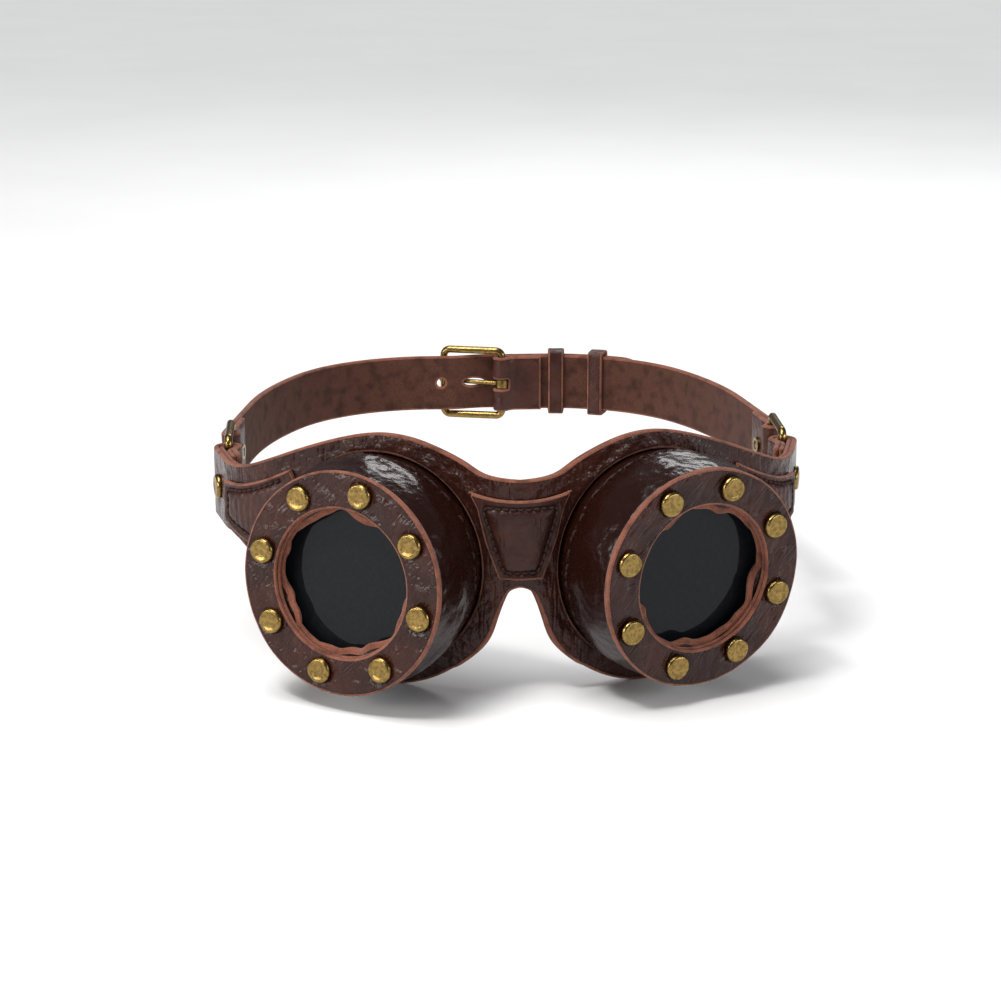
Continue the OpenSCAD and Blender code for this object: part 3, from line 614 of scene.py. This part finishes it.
# %% Gentle swells
def swell(u, v, seed, size, amount):
    """A slow random surface, in millimetres."""
    draw = np.random.default_rng(seed)
    total = 0
    for _ in range(7):
        angle, phase = draw.uniform(0, math.tau, 2)
        wave = math.tau / (size * draw.uniform(0.6, 1.7))
        total = total + np.sin(wave * (u * math.cos(angle) + v * math.sin(angle)) + phase)
    return amount * total / 3.5


TAB_RIVET = S_BAR - 8


def mask_relief(u, v, gap):
    """Swells, a rim round each eye hole and a dish round each tab rivet. All of it fades out at the bar."""
    lift = swell(u, v, 11, 14, 0.16) * np.clip(gap / 3, 0, 1)
    rim = np.exp(-((np.hypot(np.abs(u) - S_EYE, v) - EYE_HOLE_R - 0.8) / 1.2) ** 2) * 0.2
    rivet = np.hypot(np.abs(u) - TAB_RIVET, v - TAB_MID)
    off_bar = np.clip((S_BAR - 2 - np.abs(u)) / 4, 0, 1)
    return (lift + rim) * off_bar - 0.3 * np.exp(-((rivet - 4.3) / 1.3) ** 2) * off_bar


# %% [markdown]
# Outer leather and lining are two cuts of the same outline. The lining's hole is a little smaller and its
# top edge stands a touch higher, so from the front one sees two rolled terracotta edges with a dark line
# between.

# %% Mask
BROW_FROM, LINING_OUT, LINING_IN = 20, 0.35, 0.12


def eye_holes(radius):
    return [resample(arc(radius, 0, 360, 241, (side * S_EYE, 0))[:-1], 1.0) for side in (1, -1)]


lining_loop = mask_loop + inward(mask_loop) * np.where(mask_loop[:, 1:] > BROW_FROM, -LINING_OUT, LINING_IN)
mask_outer = leather_piece("mask_outer_leather", [mask_loop] + eye_holes(EYE_HOLE_R), on_mask, LEATHER, 0,
                           [mask_leather, suede, flesh], "mask", crown=0.8, relief=mask_relief, follow=0)
mask_lining = leather_piece("mask_lining_leather", [lining_loop] + eye_holes(EYE_HOLE_R - 0.6), on_mask,
                            LEATHER, -LEATHER - 0.04, [flesh, suede, mask_leather], "mask", step=1.6,
                            crown=0.8)
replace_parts(mask_outer, "mask_outer")
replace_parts(mask_lining, "mask_lining")
print("mask:", len(mask_outer.data.polygons), "faces, lining:", len(mask_lining.data.polygons))

# %% [markdown]
# Stitches are short bridges of thread between needle holes. Each is a small tube that rises out of one hole
# and dives into the next. The leather is pulled down under the row, so the pieces below read the same row
# of holes to press their groove and a deeper dimple at each hole.

# %% Stitches
THREAD_R, STITCH, SIDES, BENDS = 0.42, 2.35, 7, 7
GROOVE_W, DIMPLE_W, DIMPLE = 0.9, 0.65, 0.45


def pressed(u, v, holes, depth):
    """Depth of the groove and its dimples under a row of stitches."""
    best, hole_best = np.full(len(u), 1e9), np.full(len(u), 1e9)
    p = np.stack([u, v], 1)
    for a, b in zip(holes[:-1], holes[1:]):
        d = b - a
        t = np.clip(((p - a) @ d) / (d @ d + 1e-9), 0, 1)
        best = np.minimum(best, np.hypot(*(p - a - t[:, None] * d).T))
        hole_best = np.minimum(hole_best, np.hypot(*(p - a).T))
    return -depth * np.exp(-(best / GROOVE_W) ** 2) - DIMPLE * np.exp(-(hole_best / DIMPLE_W) ** 2)


def sew(name, holes, place, height, body, seed):
    """A bent tube of thread from each needle hole to the next, at a height over the leather."""
    draw = np.random.default_rng(seed)
    points, faces = [], []
    t = np.linspace(0, 1, BENDS)
    for a, b in zip(holes[:-1], holes[1:]):
        d = b - a
        a2, b2 = a + d * 0.10, b - d * 0.10
        line = a2 + (b2 - a2) * t[:, None] + draw.normal(0, 0.05, 2)
        rise = height + THREAD_R * (0.9 - 2.6 * (2 * t - 1) ** 4)
        centre = place(line[:, 0], line[:, 1], rise)
        along = np.gradient(centre, axis=0)
        along /= np.linalg.norm(along, axis=1)[:, None]
        up = place(line[:, 0], line[:, 1], rise + 1) - centre
        side = np.cross(along, up)
        side /= np.linalg.norm(side, axis=1)[:, None]
        up = np.cross(side, along)
        r = THREAD_R * (1 - 0.35 * (2 * t - 1) ** 6)[:, None]
        first = sum(len(x) for x in points)
        for k in range(SIDES):
            angle = math.tau * k / SIDES
            points.append(centre + r * (side * math.cos(angle) + up * math.sin(angle)))
            here, there = first + k * BENDS, first + (k + 1) % SIDES * BENDS
            faces += [(here + i, here + i + 1, there + i + 1, there + i) for i in range(BENDS - 1)]
        faces.append([first + k * BENDS for k in range(SIDES)][::-1])
        faces.append([first + k * BENDS + BENDS - 1 for k in range(SIDES)])
    row = build(name, np.vstack(points), faces, [thread], np.zeros(len(faces)), body)


# %% [markdown]
# The bridge patch is a keystone of leather over the nose, stitched all round. Its top edge bows down and
# its flesh edge shows as one thick terracotta line. Between the stitch rows the leather puffs up.

# %% Bridge patch
PATCH_SIDE = [(13.7, 20.5), (11, 10.5), (8.6, 3.5), (6.6, -1.9)]
PATCH_TOP, PATCH_LOW, BOW_W, BOW_H = 23.5, -2.1, 16.5, 2
bow = np.linspace(0, BOW_W, 12)
half_patch = np.vstack([np.stack([bow, PATCH_TOP + BOW_H * (bow / BOW_W) ** 2], 1), spline(PATCH_SIDE, 6),
                        [(0, PATCH_LOW)]])
bridge_loop = resample(both_halves(half_patch), 0.55)
half_seam = np.array([(0, PATCH_LOW + 2.4), (5.2, 0.4), (6.7, 5), (8.6, 11.2), (11.6, 21.0), (6, 20.9),
                      (0, 20.7)])
bridge_seam = np.vstack([half_seam, (half_seam[:-1] * (-1, 1))[::-1]])
bridge_holes = resample(bridge_seam, STITCH, closed=False)


def bridge_relief(u, v, gap):
    puff = 0.45 * np.clip((gap - 2.6) / 3, 0, 1)
    return puff + pressed(u, v, bridge_holes, 0.6) + swell(u, v, 21, 6, 0.08)


bridge = leather_piece("bridge_patch_leather", [bridge_loop], on_mask, LEATHER, LEATHER + 0.12,
                       [patch_leather, suede, flesh], "mask", step=0.6, relief=bridge_relief)
sew("bridge_patch_stitches", bridge_holes, on_mask, LEATHER - 0.42, "mask", 31)
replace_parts(bridge, "bridge_patch")
print("bridge patch:", len(bridge_holes) - 1, "stitches")

# %% [markdown]
# A side patch joins each eyecup to its tab. Its inner end runs under the eyecup's edge and needs no seam,
# the other three sides are stitched.

# %% Side patches
SIDE_TOP = [(78.2, 26.5), (84, 23.6), (90, 21), (96.6, 18.9), (103, 17.9), (108.8, 17.6)]
SIDE_LOW = [(108.8, 3.7), (104, 2.4), (94, -0.8)]
side_outline = np.vstack([spline(SIDE_TOP, 5), spline(SIDE_LOW, 5), arc(37.4, -6, 38, 30)])
side_seam = np.array([(82.0, 22.2), (84.6, 20.9), (90.4, 18.4), (97, 16.3), (103, 15.4), (106.2, 15.2),
                      (106.2, 6.0), (103.4, 4.9), (96, 2.6), (90.5, 0.9)])


def side_patch(name, side, seed):
    """A patch on one side, with its stitches. Gives the number of stitches."""
    holes = resample(side_seam * (side, 1), STITCH, closed=False)
    loop = resample(side_outline * (side, 1), 0.6)

    def relief(u, v, gap):
        puff = 0.35 * np.clip((gap - 2.6) / 3, 0, 1)
        pulls = 0.10 * np.sin(u * 2.3 + 0.6 * np.sin(v * 0.7)) * np.clip((gap - 1) / 2, 0, 1)
        return puff + pulls + pressed(u, v, holes, 0.5) + swell(u, v, seed, 6, 0.08)

    patch = leather_piece(f"{name}_leather", [loop], on_mask, LEATHER, LEATHER + 0.1,
                          [patch_leather, suede, flesh], "mask", step=0.62, relief=relief)
    sew(f"{name}_stitches", holes, on_mask, LEATHER - 0.4, "mask", seed + 1)
    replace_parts(patch, name)
    return len(holes) - 1


print("side patches:", side_patch("side_patch_left", 1, 41), "and", side_patch("side_patch_right", -1, 43),
      "stitches")

# %% [markdown]
# Each eye has two frames: one stands on the mask, the other on the lens ring, which is tilted a little its
# own way. A point is given as down, outboard and forward, and the right eye is the left one mirrored. EYES
# gives the side, yaw and pitch of each ring, and the turn of its rivets.

# %% Frames of the eyes
CUP_H, RING_R, WINDOW_R, RING_T, RIVET_CIRCLE, RIVETS = 30, 35.4, 23.6, 1.4, 29.2, 8
RING_STACK, LIP_BACK = 2 * RING_T, 2 * RING_T + LEATHER
EYES = {"left": (1, 27, -2.85, 27.6), "right": (-1, 32.5, 3.5, 13.2)}
CUP_FOOT = np.array([*on_curve(mask_curve, S_EYE, 0), 0])
RING_MIDDLE = np.array([*on_curve(mask_curve, S_EYE, CUP_H), 0])


def turned_frame(yaw, pitch):
    """Columns: local down, local outboard, local forward."""
    y, p = math.radians(yaw), math.radians(pitch)
    forward = np.array([math.sin(y) * math.cos(p), -math.cos(y) * math.cos(p), math.sin(p)])
    outboard = np.array([math.cos(y), math.sin(y), 0])
    return np.stack([np.cross(outboard, forward), outboard, forward], 1)


CUP_AXES = turned_frame(EYE_DEGREES, 0)


def to_cup(down, across, forward, side):
    p = np.stack([down, across, forward], -1) @ CUP_AXES.T + CUP_FOOT
    return p * (side, 1, 1)


def to_ring(down, across, forward, eye):
    side, yaw, pitch, _ = EYES[eye]
    p = np.stack([down, across, forward], -1) @ turned_frame(yaw, pitch).T + RING_MIDDLE
    return p * (side, 1, 1)


def rivet_centres(eye):
    return polar(RIVET_CIRCLE, np.radians(90 + EYES[eye][3] + 360 / RIVETS * np.arange(RIVETS)))


print("ring centre", RING_MIDDLE.round(2), "mm")

# %% [markdown]
# The eyecup is one strip of soft leather, sewn into the mask at its foot. It swells out, turns in under the
# lens ring, and ends in a ragged gathered edge that shows inside the window. It is lofted in rings of
# points: up the outside, in along the lip, round its cut edge, and back down the inside.

# %% Eyecups
WALL_BASE, WALL_TOP, WALL_H, BULGE, SEAM_H = 34.0, 34.3, 24, 1.9, 4.9
AROUND, SEAM_STITCHES = 360, 66
FOOT_R, FOOT_OUTBOARD, FOOT_INBOARD, FOOT_BACK, FOOT_FRONT = 38, 33.8, 35.8, -5.05, -3.45
LIP_TURN, LIP_FROM, LIP_SAG_FROM, LIP_R, LIP_EDGE_R = 1.5, 31, 24.5, 22.6, 0.75


def ruffle(a, seed):
    """How far the gathered lip reaches in, and how it waves up and down, round the window."""
    draw = np.random.default_rng(seed)
    reach, wave = np.zeros_like(a), np.zeros_like(a)
    for n, amount in ((2, 0.6), (3, 0.7), (5, 0.8), (8, 0.6), (13, 0.28), (19, 0.14)):
        reach = reach + amount * np.sin(n * a + draw.uniform(0, math.tau))
        wave = wave + amount * np.sin(n * a + draw.uniform(0, math.tau))
    return reach, wave


def outward(a, side):
    """Straight out of an eyecup's wall at angle a."""
    return to_cup(np.cos(a), np.sin(a), 0 * a, side) - to_cup(0 * a, 0 * a, 0 * a, side)


def wall_point(a, t, eye, shift=0.0):
    """The wall at angle a, from the foot (t = 0) to the ring's underside (t = 1). Shifted in, it is plain."""
    side = EYES[eye][0]
    foot = to_cup((WALL_BASE - shift) * np.cos(a), (WALL_BASE - shift) * np.sin(a), 0 * a, side)
    head = to_ring((WALL_TOP - shift) * np.cos(a), (WALL_TOP - shift) * np.sin(a),
                   0 * a - RING_STACK - LIP_TURN, eye)
    belly = math.sin(math.pi * t)
    push = BULGE * belly + 0 * a
    if not shift:
        height = WALL_H * t
        folds = swell(a * WALL_BASE, height, 61 if side > 0 else 67, 15, 0.45) * belly ** 0.5
        seam = np.exp(-((height - SEAM_H) / 0.8) ** 2)
        pucker = np.cos(SEAM_STITCHES * a)
        gather = np.exp(-((height - SEAM_H - 1.2) / 1.6) ** 2)
        push = push + folds - 0.8 * seam * (1 + 0.4 * pucker) + 0.36 * gather * pucker
    return foot * (1 - t) + head * t + outward(a, side) * push[:, None]


def eyecup(eye):
    """The leather of one eyecup and its sewn seam. Gives the number of faces."""
    side = EYES[eye][0]
    a = np.linspace(0, math.tau, AROUND, endpoint=False)
    c, s = np.cos(a), np.sin(a)
    reach, wave = ruffle(a, 71 if side > 0 else 83)
    foot_r = np.minimum(FOOT_R, np.where(s > 0, FOOT_OUTBOARD, FOOT_INBOARD) / np.maximum(np.abs(s), 1e-3))
    rows, finish = [], []

    def row(points, kind):
        rows.append(points)
        finish.append(kind)

    def cup_row(r, forward, kind):
        row(to_cup(r * c, r * s, 0 * a + forward, side), kind)

    def ring_row(r, below, kind):
        row(to_ring(r * c, r * s, 0 * a - RING_STACK - below, eye), kind)

    def sag(r):
        return drop * np.clip((LIP_SAG_FROM - r) / 3.5, 0, 1.2)

    cup_row(foot_r - 0.1, FOOT_BACK, BACK)
    cup_row(foot_r, -4.6, EDGE)
    cup_row(foot_r, -3.9, EDGE)
    cup_row(foot_r - 0.1, FOOT_FRONT, FACE)
    cup_row(WALL_BASE, FOOT_FRONT, FACE)
    for t in np.concatenate([np.linspace(0, 0.3, 15), np.linspace(0.35, 1, 16)]):
        row(wall_point(a, t, eye), FACE)
    for turn in np.radians((22, 45, 68, 90)):
        ring_row(WALL_TOP - LIP_TURN * (1 - math.cos(turn)), LIP_TURN * (1 - math.sin(turn)), FACE)
    edge_r = LIP_R - np.clip(reach, -0.8, 2.6)
    drop = np.clip(wave + 0.4, 0, 3.0) * 0.8
    for share in np.linspace(0, 1, 9)[1:]:
        r = LIP_FROM + (edge_r - LIP_FROM) * share
        lift = sag(r) + 0.25 * np.clip(LIP_SAG_FROM - r, 0, 2)
        ring_row(r, 0.04 + lift, EDGE if share > 0.8 else FACE)
    for turn in np.radians((30, 60, 90, 120, 150)):
        ring_row(edge_r - LIP_EDGE_R * math.sin(turn), LIP_EDGE_R * (1 - math.cos(turn)) + lift, EDGE)
    for share in np.linspace(0, 1, 7):
        r = edge_r + (LIP_FROM - edge_r) * share
        ring_row(r, 2 * LIP_EDGE_R + sag(r), BACK)
    for t in np.linspace(0.97, 0, 10):
        row(wall_point(a, t, eye, LEATHER), BACK)
    cup_row(WALL_BASE - LEATHER, FOOT_BACK, BACK)
    faces, kinds = [], []
    n = np.arange(AROUND)
    m = (n + 1) % AROUND
    for k, kind in enumerate(finish):
        low, high = k * AROUND, (k + 1) % len(rows) * AROUND
        quad = np.stack([low + n, low + m, high + m, high + n], 1)
        faces += (quad if side > 0 else quad[:, ::-1]).tolist()
        kinds += [kind] * AROUND
    cup = build(f"eyecup_{eye}_leather", np.vstack(rows), faces, [cup_leather, suede, flesh], kinds, "mask")
    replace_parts(cup, f"eyecup_{eye}")
    turns = np.linspace(0, math.tau, SEAM_STITCHES + 1) + math.pi / SEAM_STITCHES
    holes = np.stack([turns, np.full(len(turns), SEAM_H)], 1)

    def on_wall(u, v, out):
        base = np.vstack([wall_point(np.array([x]), y / WALL_H, eye) for x, y in zip(u, v)])
        return base + outward(u, side) * out[:, None]

    sew(f"eyecup_{eye}_stitches", holes, on_wall, 0.1, "mask", 91)
    return len(cup.data.polygons)


print("eyecup faces:", [eyecup(eye) for eye in EYES])

# %% [markdown]
# A lens ring is two leather discs riveted together over the eyecup's lip. The outline is cut by hand, so it
# wanders by a few tenths, and each rivet pulls a shallow dish into the leather round its cap.

# %% Lens rings
DISH_R, BACK_DISC_IN = 3.9, 0.35


def wandering_circle(radius, seed, amount):
    a = np.linspace(0, math.tau, 361)[:-1]
    draw = np.random.default_rng(seed)
    r = radius + sum(amount / k ** 0.7 * np.sin(k * a + draw.uniform(0, math.tau))
                     for k in (2, 3, 4, 5, 7, 9))
    return resample(polar(r, a), 0.9)


def lens_ring(eye, seed):
    """Both discs of one lens ring. Gives the number of faces of the front one."""
    centres = rivet_centres(eye)

    def place(u, v, out):
        return to_ring(u, v, out + 0 * u, eye)

    def relief(u, v, gap):
        near = np.min([np.hypot(u - x, v - y) for x, y in centres], axis=0)
        dish = -0.32 * np.exp(-((near - DISH_R) / 1.1) ** 2) - 0.15 * (near < DISH_R)
        long_folds = 0.10 * np.sin(1.15 * (u * 0.55 + v * 0.83) + 1.3 * np.sin(0.35 * (u - v) + seed))
        return dish + (swell(u, v, seed, 10, 0.26) + long_folds) * np.clip(gap / 2.5, 0, 1)

    front_cut = [wandering_circle(RING_R, seed, 0.16), wandering_circle(WINDOW_R, seed + 1, 0.10)]
    back_cut = [wandering_circle(RING_R - BACK_DISC_IN, seed + 2, 0.12),
                wandering_circle(WINDOW_R - BACK_DISC_IN, seed + 3, 0.12)]
    front = leather_piece(f"ring_front_{eye}_leather", front_cut, place, RING_T, 0,
                          [ring_leather, suede, flesh], "mask", step=0.85, crown=0.8, relief=relief,
                          follow=0)
    back = leather_piece(f"ring_back_{eye}_leather", back_cut, place, RING_T, -RING_T - 0.02,
                         [flesh, suede, flesh], "mask", step=1.6, crown=0.6)
    for disc, node, slot in ((front, "ring_front_", "mask_leather"), (back, "ring_back_", "lining_leather")):
        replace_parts(disc, node + eye)
    return len(front.data.polygons)


print("lens ring faces:", lens_ring("left", 101), lens_ring("right", 113))

# %% [markdown]
# A rivet cap is pressed from thin brass: a bright rolled rim, then a flat top with a shallow dimple. The
# caps are turned from one profile of (radius, height), and each gets its own small dents from the setting
# hammer.

# %% Rivets
POST_R = 1.5
CAP = [(0.0, 1.14), (0.9, 1.15), (1.8, 1.20), (2.5, 1.34), (2.9, 1.46), (3.2, 1.5), (3.5, 1.43),
       (3.75, 1.26), (3.95, 0.98), (4.07, 0.62), (4.1, 0.3), (4.04, 0.04), (3.8, -0.08), (1.55, -0.08),
       (1.5, -0.3)]


def rivets(name, spots, grip, body, seed):
    """spots: (centre, sideways, upward, outward) of each rivet in space."""
    draw = np.random.default_rng(seed)
    around = 40
    profile = CAP + [(POST_R, -grip - 0.5), (POST_R - 0.3, -grip - 0.8), (0.0, -grip - 0.8)]
    a = np.linspace(0, math.tau, around, endpoint=False)
    points, faces = [], []
    for centre, x_axis, y_axis, z_axis in spots:
        first = sum(len(p) for p in points)
        tilt = draw.normal(0, 0.012, 2)
        lean, phase = draw.uniform(0.05, 0.13), draw.uniform(0, math.tau, 3)
        for r, h in profile:
            x, y = r * np.cos(a), r * np.sin(a)
            top = 1.0 if h > 0.5 else 0.0
            dents = top * (lean * np.sin(0.9 * x + phase[0]) * np.sin(0.8 * y + phase[1]) * 0.6
                           + tilt[0] * x + tilt[1] * y)
            wobble = 1 + (0.012 * np.sin(3 * a + phase[2]) if h > -0.05 else 0)
            points.append(centre + np.outer(x * wobble, x_axis) + np.outer(y * wobble, y_axis)
                          + np.outer(h + dents, z_axis))
        for k in range(len(profile) - 1):
            low, high = first + k * around, first + (k + 1) * around
            for i in range(around):
                j = (i + 1) % around
                faces.append((low + i, high + i, high + j, low + j))
    piece = build(name, np.vstack(points), faces, [brass], np.zeros(len(faces)), body)
    work = bmesh.new()
    work.from_mesh(piece.data)
    bmesh.ops.remove_doubles(work, verts=work.verts, dist=1e-6)
    bmesh.ops.recalc_face_normals(work, faces=work.faces)
    work.to_mesh(piece.data)
    work.free()
    return piece


for eye, (side, yaw, pitch, turn) in EYES.items():
    axes = turned_frame(yaw, pitch) * np.array([[side], [1], [1]])
    spots = [(to_ring(x, y, 0, eye), axes[:, 0], axes[:, 1], axes[:, 2]) for x, y in rivet_centres(eye)]
    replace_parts(rivets(f"ring_rivets_{eye}_caps", spots, LIP_BACK, "mask", 120 + side), f"ring_rivets_{eye}")


def flat_spot(place, s, z):
    """Centre and axes of a rivet that sits on laid leather."""
    centre, *probes = [place(*np.array([[s + ds], [z + dz], [do]], float))[0]
                       for ds, dz, do in ((0, 0, 0), (0.1, 0, 0), (0, 0.1, 0), (0, 0, 0.1))]
    return (centre, *[(p - centre) / np.linalg.norm(p - centre) for p in probes])


tab_spots = [flat_spot(on_mask, side * TAB_RIVET, TAB_MID) for side in (1, -1)]
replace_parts(rivets("tab_rivets_caps", tab_spots, 4 * LEATHER + 0.1, "mask", 130), "tab_rivets")
print("rivets:", 2 * RIVETS + 2)

# %% [markdown]
# The strap is one width of leather that leaves the link ring, runs round the head, and ends in the buckle.
# It folds round each bar it hangs on, in the same way as a tab. One plan path through the fold, the strap
# and the next fold lets the same flat-leather helper make it. A name that starts with T_ is a length along
# the strap, measured from the middle of the back.

# %% The strap's path
STRAP_T, STRAP_W = 2.0, 21
BACK_FLAT, BACK_R, SIDE_R = 22, 58, 140
BACK_TURN, RING_TURN = math.radians(60), math.radians(79.8)
TONGUE_END, TONGUE_OUT, TONGUE_RAMP, STRAP_TAIL, BUCKLE_TAIL = 64, 2.3, 14, 20, 15
STRAP_BACK, STRAP_RUN, HEEL_X = 102.292, 43.0839, 6
T_BACK = BACK_FLAT + BACK_R * BACK_TURN
T_SIDE = T_BACK + SIDE_R * (RING_TURN - BACK_TURN)
T_BAR = T_SIDE + STRAP_RUN
STRAP_FOLD_R, STRAP_DROP = STRAP_T + BAR_BORE, 2 * BAR_BORE
strap_curve = walk([(BACK_FLAT, 0), (T_BACK - BACK_FLAT, -BACK_TURN),
                    (T_SIDE - T_BACK, BACK_TURN - RING_TURN), (STRAP_RUN, 0)], (0, STRAP_BACK))


def tongue_out(s):
    """How far the tongue stands out where it lies over the other half."""
    return TONGUE_OUT * (1 - np.cos(math.pi * np.clip((s + TONGUE_RAMP) / TONGUE_RAMP, 0, 1))) / 2


def strap_place(side, heel):
    """side is 1 for the wearer's left half. heel is where that half folds round the buckle's bar."""
    bar_x, bar_y = on_curve(strap_curve, T_BAR, 0)
    c, d = math.cos(RING_TURN), math.sin(RING_TURN)
    centre_x, centre_y = bar_x - STRAP_FOLD_R * d, bar_y - STRAP_FOLD_R * c

    def place(u, v, out):
        rise = out + (tongue_out(u) if side < 0 else 0 * u)
        x, y = on_curve(strap_curve, np.abs(u), -rise)
        x = np.where(u < 0, -x, x)
        past = side * u - T_BAR
        fold_x, fold_y = fold_point(np.maximum(past, 0), out, STRAP_FOLD_R, STRAP_DROP)
        x = np.where(past > 0, side * (centre_x + c * fold_x - d * fold_y), x)
        y = np.where(past > 0, centre_y - d * fold_x - c * fold_y, y)
        if heel is not None:
            past = heel - u
            fold_x, fold_y = fold_point(np.maximum(past, 0), out, STRAP_FOLD_R, STRAP_DROP)
            x = np.where(past > 0, heel - fold_x, x)
            y = np.where(past > 0, STRAP_BACK - STRAP_FOLD_R - fold_y, y)
        return np.stack([x, y, TAB_MID + v], 1)

    return place


def strap_relief(u, v, gap):
    return swell(u, v, 151, 16, 0.12) * np.clip(gap / 3, 0, 1)


# %% [markdown]
# The wearer's left half ends at the buckle with a slot for the prong. The right half ends in a tongue with
# a rounded tip and punched holes. The hole in which the prong stands is long, so that the prong can lift.

# %% Strap halves
FOLD_LEN, STRAP_RIVET = math.pi * STRAP_FOLD_R, T_BAR - 13
HOLE_PITCH, HOLE_R, SLOT_W, SLOT_END = 12, 1.6, 3.8, 2.4
PRONG_S, PRONG_AHEAD, PRONG_BEHIND, PRONG_HALF_W = -5.3, 4.9, -3.3, 1.4
half_w = STRAP_W / 2
ring_end, buckle_end = T_BAR + FOLD_LEN + STRAP_TAIL, HEEL_X - FOLD_LEN - BUCKLE_TAIL
slot_from, slot_to = HEEL_X - FOLD_LEN - SLOT_END, HEEL_X + SLOT_END


def box_loop(low_x, high_x, half_high, step):
    corners = [(low_x, -half_high), (high_x, -half_high), (high_x, half_high), (low_x, half_high)]
    return resample(corners, step)


tip = [(TONGUE_END - half_w + half_w * math.sin(a), -half_w * math.cos(a))
       for a in np.linspace(0, math.pi, 24)]
right_loop = resample([(-ring_end, -half_w)] + tip + [(-ring_end, half_w)], 1.5)
around = np.linspace(0, math.tau, 20, endpoint=False)
holes = [polar(HOLE_R, around, (PRONG_S + k * HOLE_PITCH, 0)) for k in (-1, 1, 2, 3, 4)]
prong_hole = np.array([(PRONG_S + (PRONG_AHEAD if c > 0 else PRONG_BEHIND) * abs(c), PRONG_HALF_W * s)
                       for c, s in ((math.cos(t), math.sin(t)) for t in np.linspace(0, math.tau, 28)[:-1])])
left_loops = [box_loop(buckle_end, ring_end, half_w, 1.5), box_loop(slot_from, slot_to, SLOT_W / 2, 0.8)]
place_left, place_right = strap_place(1, HEEL_X), strap_place(-1, None)
for node, loops, place in (("strap_left", left_loops, place_left),
                           ("strap_right", [right_loop] + holes + [prong_hole], place_right)):
    piece = leather_piece(f"{node}_leather", loops, place, STRAP_T, 0, [strap_leather, suede, flesh], "strap",
                          step=2.2, crown=0.8, relief=strap_relief, follow=0)
    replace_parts(piece, node)
    print(node, "faces:", len(piece.data.polygons))
strap_spots = [flat_spot(place_left, STRAP_RIVET, 0), flat_spot(place_right, -STRAP_RIVET, 0)]
strap_caps = rivets("strap_rivets_caps", strap_spots, 2 * STRAP_T, "strap", 160)
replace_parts(strap_caps, "strap_rivets")

# %% [markdown]
# Two keepers hold the tongue down. Each is a narrow leather band wrapped round both halves. It is laid out
# flat too: one direction goes round the strap's section, the other along the strap.

# %% Keepers
KEEPER_T, KEEPER_W, KEEPER_GAP, KEEPER_SEAM = 1.6, 6, 0.3, 0.02
inner_r = BACK_R - STRAP_T - KEEPER_GAP - KEEPER_T
outer_r = BACK_R + TONGUE_OUT + KEEPER_GAP + KEEPER_T
keeper_high = half_w + KEEPER_GAP + KEEPER_T


def keeper(name, s, body, seed):
    """A band round both halves, at length s from the middle of the back."""
    path = soften(box_loop(inner_r, outer_r, keeper_high, 0.5), 10)
    closed, normal = (np.vstack([p, p[:1]]) for p in (path, -inward(path)))
    run = lengths_along(closed)
    start = (s - BACK_FLAT) / BACK_R

    def place(u, v, out):
        along = np.mod(u, run[-1])
        r, z = (np.interp(along, run, closed[:, k]) + out * np.interp(along, run, normal[:, k])
                for k in (0, 1))
        turn = start + v / BACK_R
        return np.stack([BACK_FLAT + r * np.sin(turn), STRAP_BACK - BACK_R + r * np.cos(turn),
                         TAB_MID + z], 1)

    def relief(u, v, gap):
        return swell(u, v, seed, 5, 0.08) * np.clip(gap / 2, 0, 1)

    band = leather_piece(name, [box_loop(0, run[-1] - KEEPER_SEAM, KEEPER_W / 2, 0.8)], place, KEEPER_T, 0,
                         [strap_leather, suede, flesh], body, step=0.9, crown=0.6, relief=relief, follow=0)
    return band


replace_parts(keeper("keeper_fixed_leather", 27, "strap", 171), "keeper_fixed")
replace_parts(keeper("keeper_sliding_leather", 43, "keeper", 173), "keeper_sliding")
print("keepers made")

# %% [markdown]
# The brass wire, the lenses, the gaskets and the rivets' closing caps are exact as turned solids, so they
# stay and only get their finish.

# %% Finishes of the solids that stay
STAYING = {
    "link_ring_left": brass, "link_ring_right": brass, "buckle_frame": brass, "buckle_prong": brass,
    "ring_rivet_backs_left": brass, "ring_rivet_backs_right": brass, "tab_rivet_backs": brass,
    "strap_rivet_backs": brass, "lens_left": lens_finish, "lens_right": lens_finish,
    "lens_gasket_left": rubber, "lens_gasket_right": rubber,
}
for node, finish in STAYING.items():
    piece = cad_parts[node]
    if not piece.material_slots:
        piece.data.materials.append(finish)
    for slot_of in piece.material_slots:
        slot_of.material = finish
print("finished solids:", len(STAYING))
